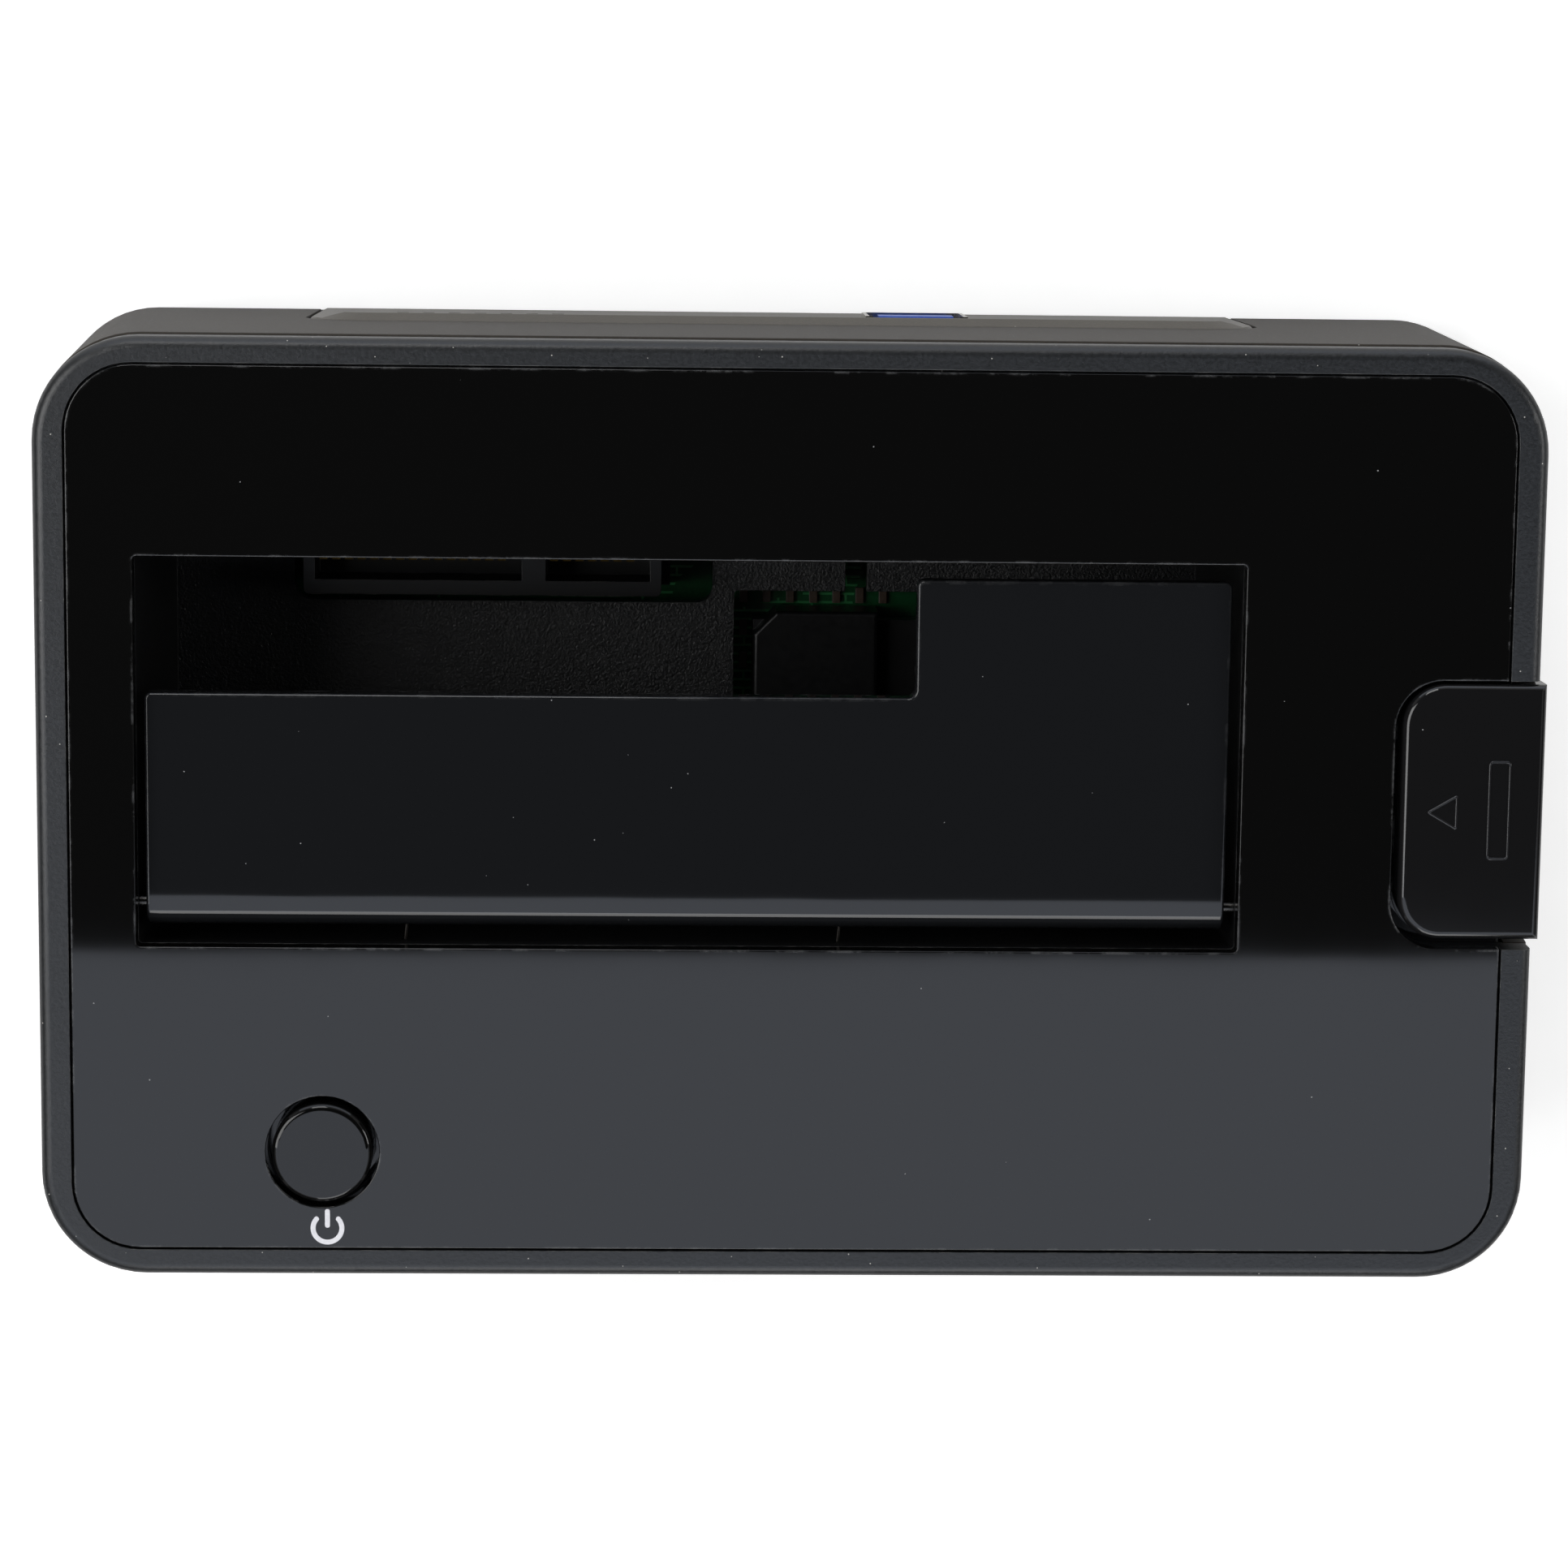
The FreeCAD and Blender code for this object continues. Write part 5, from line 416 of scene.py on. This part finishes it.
# %% Polished plastic
def polished(name, colour, roughness, wave, depth, dust_spacing=4.2, dust_size=0.14, bend=1.49,
             wear_and_glint=0.7, lean=0.0):
    """A lapped surface: wave is the width and depth the height of its slow waviness, in mm.

    The mirror leans forward by that many radians: the true normal n becomes n - (0, lean, 0).
    """
    made, tree, places = blank(name)
    swell = add(tree, "TexNoise", {
        "Vector": places, "Scale": per(wave), "Detail": 1.0, "Roughness": 0.3})
    wipe = add(tree, "TexNoise", {
        "Vector": places, "Scale": per(30.0), "Detail": 5.0, "Distortion": 1.2})
    fluff = dust(tree, places, dust_spacing, dust_size)
    # The pale dots are dust. The pale edge patches are partly nicks and partly a painted highlight.
    worn_and_glint = nicks_and_glint(tree, places, POLISHED_NICK_AND_GLINT, wear_and_glint)
    dust_and_glint = add(tree, "Math", {0: fluff, 1: worn_and_glint}, operation="MAXIMUM").outputs[0]
    shade = blended(tree, dust_and_glint, tint(colour), tint("#8F9092"))
    haze = ranged(tree, wipe.outputs["Fac"], roughness * 0.6, roughness * 1.6)
    rough = add(tree, "Math", {0: haze, 1: dust_and_glint}, operation="ADD", use_clamp=True)
    turned = turned_normal(tree, POLISHED_EDGE)
    tipped = add(tree, "VectorMath", {0: turned, 1: (0.0, -lean, 0.0)}, operation="ADD")
    level = add(tree, "VectorMath", {0: tipped.outputs["Vector"]}, operation="NORMALIZE")
    relief = add(tree, "Bump", {
        "Height": swell.outputs["Fac"], "Distance": depth * MM, "Normal": level.outputs["Vector"]})
    skin = add(tree, "BsdfPrincipled", {
        "Base Color": shade, "Roughness": rough.outputs[0], "IOR": bend,
        "Normal": relief.outputs["Normal"]})
    add(tree, "OutputMaterial", {"Surface": skin.outputs["BSDF"]})
    return made


finishes["gloss_black"] = polished(
    "polished_black_acrylic_plate", "#0C0C0C", 0.030, 9.0, 0.002, wear_and_glint=0.5)
finishes["button_gloss"] = polished("polished_black_ABS_button", "#161617", 0.050, 6.0, 0.002, 4.0)
finishes["power_gloss"] = polished(
    "polished_black_ABS_power_cap", "#0A0A0A", 0.045, 5.0, 0.002, 3.0, bend=1.44)
# The flap is polished too. Its springs let it hang about half a degree off level, and that moves the
# mirrored edge of the white card back onto it, where it shows as a grey band along the front.
finishes["flap_plastic"] = polished(
    "polished_ABS_flap", "#18191B", 0.012, 9.0, 0.0010, 2.6, 0.12, bend=1.46, wear_and_glint=0.8, lean=0.0080)
finishes["raised_gloss"] = polished("polished_raised_marks", "#1A1A1C", 0.060, 6.0, 0.001, wear_and_glint=0.0)
finishes["led_lens"] = polished("moulded_milky_LED_lens", "#C8D6DE", 0.120, 2.0, 0.002, 9.0)
print(len(finishes), "finishes with the polished ones")

# %% [markdown]
# Rubber feet are matt because their mould was sand-blasted, and talc from packing stays in the pits.

# %% Rubber
rubber, tree, places = blank("moulded_matt_rubber")
blast = add(tree, "TexNoise", {"Vector": places, "Scale": per(0.5), "Detail": 4.0, "Roughness": 0.7})
talc = add(tree, "TexNoise", {"Vector": places, "Scale": per(3.0), "Detail": 5.0})
talc_share = add(tree, "MapRange", {"Value": talc.outputs["Fac"], "From Min": 0.5, "From Max": 0.8})
colour = blended(tree, talc_share.outputs[0], tint("#121212"), tint("#2A2927"))
relief = add(tree, "Bump", {"Height": blast.outputs["Fac"], "Distance": 0.03 * MM, "Strength": 1.0})
skin = add(tree, "BsdfPrincipled", {
    "Base Color": colour, "Roughness": 0.86, "IOR": 1.52, "Normal": relief.outputs["Normal"]})
add(tree, "OutputMaterial", {"Surface": skin.outputs["BSDF"]})
finishes["rubber_foot"] = rubber
print("rubber grain 0.5 mm, drawn at its own size")

# %% [markdown]
# Metal parts differ in how they were worked. Drawn wire and ground pins carry fine lines along their
# length, stamped shells are smooth with a soft grain from the rolling mill, and plating evens both out.
# A stretched noise gives lines: it repeats quickly across the part and slowly along it.

# %% Metals
def worked_metal(name, dark, light, roughness, along, across, depth):
    """Metal whose grain repeats every along and across mm; along lists its size in X, Y and Z."""
    made, tree, places = blank(name)
    stretched = add(tree, "Mapping", {"Vector": places, "Scale": [per(size) for size in along]})
    lines = add(tree, "TexNoise", {"Vector": stretched.outputs[0], "Scale": 1.0, "Detail": 3.0})
    stain = add(tree, "TexNoise", {"Vector": places, "Scale": per(across), "Detail": 3.0})
    colour = blended(tree, stain.outputs["Fac"], tint(dark), tint(light))
    rough = ranged(tree, lines.outputs["Fac"], roughness - 0.07, roughness + 0.07)
    relief = add(tree, "Bump", {
        "Height": lines.outputs["Fac"], "Distance": depth * MM, "Strength": 1.0})
    skin = add(tree, "BsdfPrincipled", {
        "Base Color": colour, "Metallic": 1.0, "Roughness": rough, "Normal": relief.outputs["Normal"]})
    add(tree, "OutputMaterial", {"Surface": skin.outputs["BSDF"]})
    return made


finishes.update({
    # Ground rods: the lines run along the rod, so it gleams in one long streak.
    "steel_pin": worked_metal(
        "ground_steel_pin", "#3A3938", "#545351", 0.28, (0.2, 3.0, 0.2), 2.0, 0.003),
    # Music wire in a grey-black phosphate coat, which keeps rust off and gleams only dimly.
    "spring_steel": worked_metal(
        "phosphated_spring_wire", "#1C1B1A", "#32302D", 0.42, (0.3, 0.3, 0.3), 1.2, 0.003),
    "screw_steel": worked_metal(
        "blackened_screw_steel", "#2E2D2C", "#4B4946", 0.36, (0.4, 0.4, 0.4), 1.0, 0.004),
    # Nickel over tin-plated sheet: bright, with the mill's faint lines.
    "plated_shell": worked_metal(
        "nickel_plated_sheet_shell", "#B9B6AF", "#DAD7D0", 0.22, (0.3, 4.0, 0.3), 3.0, 0.002),
    "lock_steel": worked_metal(
        "zinc_plated_sheet_steel", "#8E9093", "#B3B5B7", 0.34, (3.0, 0.3, 0.3), 1.5, 0.003),
    "crystal_can": worked_metal(
        "drawn_nickel_can", "#B5B3AD", "#D2D0C9", 0.26, (2.0, 0.3, 0.3), 1.0, 0.002),
    # The contacts' gold is painted dark: painted shade for the shadow inside the connector's slots.
    "contact_gold": worked_metal(
        "thin_gold_flash_contact_painted_shade", "#33280F", "#4E3F20", 0.38, (0.2, 0.2, 1.5), 0.6, 0.002),
    "can_aluminium": worked_metal(
        "drawn_aluminium_can", "#A8AAAC", "#CDCFD0", 0.30, (0.3, 0.3, 2.0), 1.0, 0.003),
})
print(len(finishes), "finishes so far")

# %% [markdown]
# A circuit board is glass cloth and resin under a clear green lacquer. Copper tracks below the lacquer
# make it paler and stand a little proud. A brick pattern is a quick way to get long parallel tracks
# with cross links, and scattered round cells are the plated holes.

# %% Circuit board and the parts on it
board, tree, places = blank("lacquered_glass_epoxy_board")
rows = add(tree, "TexBrick", {
    "Vector": places, "Scale": 1.0, "Mortar Size": 0.14 * MM, "Mortar Smooth": 0.2,
    "Brick Width": 7.0 * MM, "Row Height": 0.9 * MM,
    "Color1": (0, 0, 0, 1), "Color2": (0, 0, 0, 1), "Mortar": (1, 1, 1, 1)})
zones = add(tree, "TexNoise", {"Vector": places, "Scale": per(9.0), "Detail": 1.0})
routed = add(tree, "Math", {0: zones.outputs["Fac"], 1: 0.47}, operation="GREATER_THAN")
tracks = add(tree, "Math", {0: rows.outputs["Color"], 1: routed.outputs[0]}, operation="MULTIPLY")
holes = add(tree, "TexVoronoi", {"Vector": places, "Scale": per(4.2), "Randomness": 0.9})
plated = add(tree, "Math", {0: holes.outputs["Distance"], 1: 0.11}, operation="LESS_THAN")
weave = add(tree, "TexNoise", {"Vector": places, "Scale": per(0.6), "Detail": 2.0})
lacquer = blended(tree, weave.outputs["Fac"], tint("#0A3A1D"), tint("#0E4A26"))
lacquer = blended(tree, tracks.outputs[0], lacquer, tint("#2E7B45"))
lacquer = blended(tree, plated.outputs[0], lacquer, tint("#B9BBB4"))
relief = add(tree, "Bump", {"Height": tracks.outputs[0], "Distance": 0.03 * MM, "Strength": 1.0})
skin = add(tree, "BsdfPrincipled", {
    "Base Color": lacquer, "Roughness": 0.24, "IOR": 1.55, "Normal": relief.outputs["Normal"]})
add(tree, "OutputMaterial", {"Surface": skin.outputs["BSDF"]})
finishes["board_green"] = board

finishes["chip_black"] = moulded("moulded_epoxy_chip_package", "#101113", "#1E2022", 0.12, 0.006, 0.52)
finishes["ferrite"] = moulded("pressed_ferrite", "#1A1817", "#2B2826", 0.40, 0.020, 0.62)
finishes["ceramic"] = moulded("fired_ceramic_chip_part", "#3A2C20", "#524032", 0.30, 0.008, 0.40)
print("board tracks 0.28 mm wide, 0.9 mm apart")

# %% [markdown]
# The ribbon between the two boards is five wires side by side in one grey PVC skin. The skin dips
# between the wires, and light runs along each ridge. A sine wave across the ribbon is all it takes.

# %% Ribbon lead
ribbon, tree, places = blank("extruded_PVC_ribbon")
ridges = add(tree, "TexWave", {
    "Vector": places, "Scale": wave_per(1.0)}, bands_direction="X", wave_profile="SIN")
grime = add(tree, "TexNoise", {"Vector": places, "Scale": per(5.0), "Detail": 3.0})
colour = blended(tree, grime.outputs["Fac"], tint("#7A7B7D"), tint("#96979A"))
relief = add(tree, "Bump", {"Height": ridges.outputs["Fac"], "Distance": 0.25 * MM, "Strength": 1.0})
skin = add(tree, "BsdfPrincipled", {
    "Base Color": colour, "Roughness": 0.38, "IOR": 1.53, "Normal": relief.outputs["Normal"]})
add(tree, "OutputMaterial", {"Surface": skin.outputs["BSDF"]})
finishes["lead_grey"] = ribbon
print("ribbon ridges one per wire, 1 mm apart")

# %% [markdown]
# Each CAD node already carries the name of the record's material slot. Its own material slots take
# the finish, and the shape stays as it is.

# %% Finishes on the CAD nodes
slots = {entry["slot"] for entry in frame["record"]["materials"]}
missing = slots - set(finishes)
print("slots with no finish:", sorted(missing))
for entry in frame["record"]["subparts"]:
    for place in frame["nodes"][entry["node"]].material_slots:
        place.material = finishes[entry["material_slot"]]

# %% [markdown]
# Two kinds of fine mark sit on the plastic. The power mark is screen printed: a film of white ink.
# The arrow on the eject button is moulded: thin ridges, as polished as the button, that only show by
# the light they catch. Both are one shape, a low rounded ridge carried along a path. A path of corners
# is first cut into even steps, and a sharp corner is eased by averaging neighbours on the path.

# %% Ridges along paths
def even_steps(corners, step, closed):
    """Points about step apart along straight lines between corners, by arc length."""
    corners = np.asarray(corners, dtype=float)
    if closed:
        corners = np.vstack([corners, corners[:1]])
    lengths = np.concatenate([[0.0], np.cumsum(np.linalg.norm(np.diff(corners, axis=0), axis=1))])
    count = int(round(lengths[-1] / step)) + 1
    at = np.linspace(0.0, lengths[-1], count)
    points = np.stack([np.interp(at, lengths, corners[:, k]) for k in (0, 1)], axis=-1)
    return points[:-1] if closed else points


def eased(points, reach):
    """Rounds a closed path's corners: each point becomes the mean of its 2 reach + 1 neighbours."""
    shifts = [np.roll(points, k, axis=0) for k in range(-reach, reach + 1)]
    return np.mean(shifts, axis=0)


def ridge(path, width, height, closed, around=16):
    """A half-ellipse of that width and height (mm) on a path, flat below.

    At angle a the section is (w/2 cos a, h sin a), with h sin a cut off at 0. An open ridge narrows
    at distance s from its ends as sqrt(1 - (1 - s / (w/2))^2), which rounds them like a pen stroke.
    """
    ahead = np.roll(path, -1, axis=0) if closed else np.vstack([path[1:], 2 * path[-1:] - path[-2:-1]])
    behind = np.roll(path, 1, axis=0) if closed else np.vstack([2 * path[:1] - path[1:2], path[:-1]])
    along = (ahead - behind) / np.linalg.norm(ahead - behind, axis=1, keepdims=True)
    side = np.stack([along[:, 1], -along[:, 0]], axis=-1)
    swell = np.ones(len(path))
    if not closed:
        walked = np.concatenate([[0.0], np.cumsum(np.linalg.norm(np.diff(path, axis=0), axis=1))])
        from_end = np.minimum(walked, walked[-1] - walked) / (width / 2)
        swell = np.sqrt(1 - (1 - np.clip(from_end, 0.0, 1.0)) ** 2)
    angle = np.linspace(0.0, 2 * np.pi, around, endpoint=False)
    across = np.cos(angle)[None, :, None] * side[:, None, :] * (width / 2 * swell)[:, None, None]
    rise = np.maximum(np.sin(angle), 0.0)[None, :] * (height * swell)[:, None]
    plan = path[:, None, :] + across
    return np.concatenate([plan, rise[:, :, None]], axis=-1)


WELD_WITHIN = 1e-7


def lay_ridge(name, path, width, height, level, closed, finish, body):
    """Makes one ridge at a level, joins each pointed end's ring into one point and lets it ride."""
    points = ridge(path, width, height, closed) + np.array([0.0, 0.0, level])
    made = sheet_object(name, points * MM, close_rows=closed, close_columns=True)
    shape = bmesh.new()
    shape.from_mesh(made.data)
    bmesh.ops.remove_doubles(shape, verts=shape.verts, dist=WELD_WITHIN)
    bmesh.ops.recalc_face_normals(shape, faces=shape.faces)
    shape.to_mesh(made.data)
    shape.free()
    made.data.materials.append(finish)
    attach(made, body)


print("a pen stroke 0.5 mm wide has round ends of radius 0.25 mm")

# %% [markdown]
# The printed mark is the usual power symbol: a ring that is open at the top and a short bar in the gap.
# Ink pressed through a woven screen dries with a faint mesh in its surface. A real screen has threads
# about 0.1 mm apart; they are drawn 0.4 mm apart here, so that they show.

# %% Printed power mark
PLATE_LEVEL = 62.0
MARK_CENTRE = np.array([-43.35, -39.65])
MARK_RADIUS = 1.36
MARK_LINE = 0.50
MARK_GAP = math.radians(38.0)
MARK_RING_POINTS = 90
MARK_BAR = [(0.0, 0.02), (0.0, 1.88)]
MARK_STEP = 0.06
INK_HEIGHT = 0.04
INK_SUNK = 0.01

ink, tree, places = blank("screen_printed_white_ink")
mesh_x = add(tree, "TexWave", {"Vector": places, "Scale": wave_per(0.40)}, bands_direction="X")
mesh_y = add(tree, "TexWave", {"Vector": places, "Scale": wave_per(0.40)}, bands_direction="Y")
weave = add(tree, "Math", {0: mesh_x.outputs["Fac"], 1: mesh_y.outputs["Fac"]}, operation="MULTIPLY")
cover = add(tree, "TexNoise", {"Vector": places, "Scale": per(0.5), "Detail": 3.0})
colour = blended(tree, cover.outputs["Fac"], tint("#D4D5DC"), tint("#F1F1F6"))
relief = add(tree, "Bump", {"Height": weave.outputs[0], "Distance": 0.004 * MM})
skin = add(tree, "BsdfPrincipled", {
    "Base Color": colour, "Roughness": 0.55, "IOR": 1.50, "Normal": relief.outputs["Normal"]})
add(tree, "OutputMaterial", {"Surface": skin.outputs["BSDF"]})

angle = np.linspace(MARK_GAP, 2 * np.pi - MARK_GAP, MARK_RING_POINTS)
ring_path = MARK_CENTRE + MARK_RADIUS * np.stack([np.sin(angle), np.cos(angle)], axis=-1)
bar_path = MARK_CENTRE + even_steps(MARK_BAR, MARK_STEP, closed=False)
for name, path in (("power_mark_ring", ring_path), ("power_mark_bar", bar_path)):
    lay_ridge(name, path, MARK_LINE, INK_HEIGHT + INK_SUNK, PLATE_LEVEL - INK_SUNK, False, ink, "dock")

# %% [markdown]
# The eject button carries an arrow head that points into the dock, and beside it a long closed
# outline, like the bar of the usual eject symbol. Both are raised a tenth of a millimetre.

# %% Raised eject marks
CAP_LEVEL = 62.3
RAISED_LINE = 0.30
RAISED_HEIGHT = 0.13
RAISED_SUNK = 0.02
RAISED_STEP = 0.05
arrow = [(59.95, 0.94), (62.60, 2.48), (62.60, -0.60)]
bar_half = np.array([0.95, 4.60])
bar_centre = np.array([66.60, 1.15])
bar = bar_centre + bar_half * np.array([(-1, -1), (-1, 1), (1, 1), (1, -1)])
for name, corners, reach in (("eject_arrow", arrow, 2), ("eject_bar", bar, 7)):
    path = eased(even_steps(corners, RAISED_STEP, closed=True), reach)
    lay_ridge(name, path, RAISED_LINE, RAISED_HEIGHT + RAISED_SUNK, CAP_LEVEL - RAISED_SUNK, True,
              finishes["raised_gloss"], "ejector")
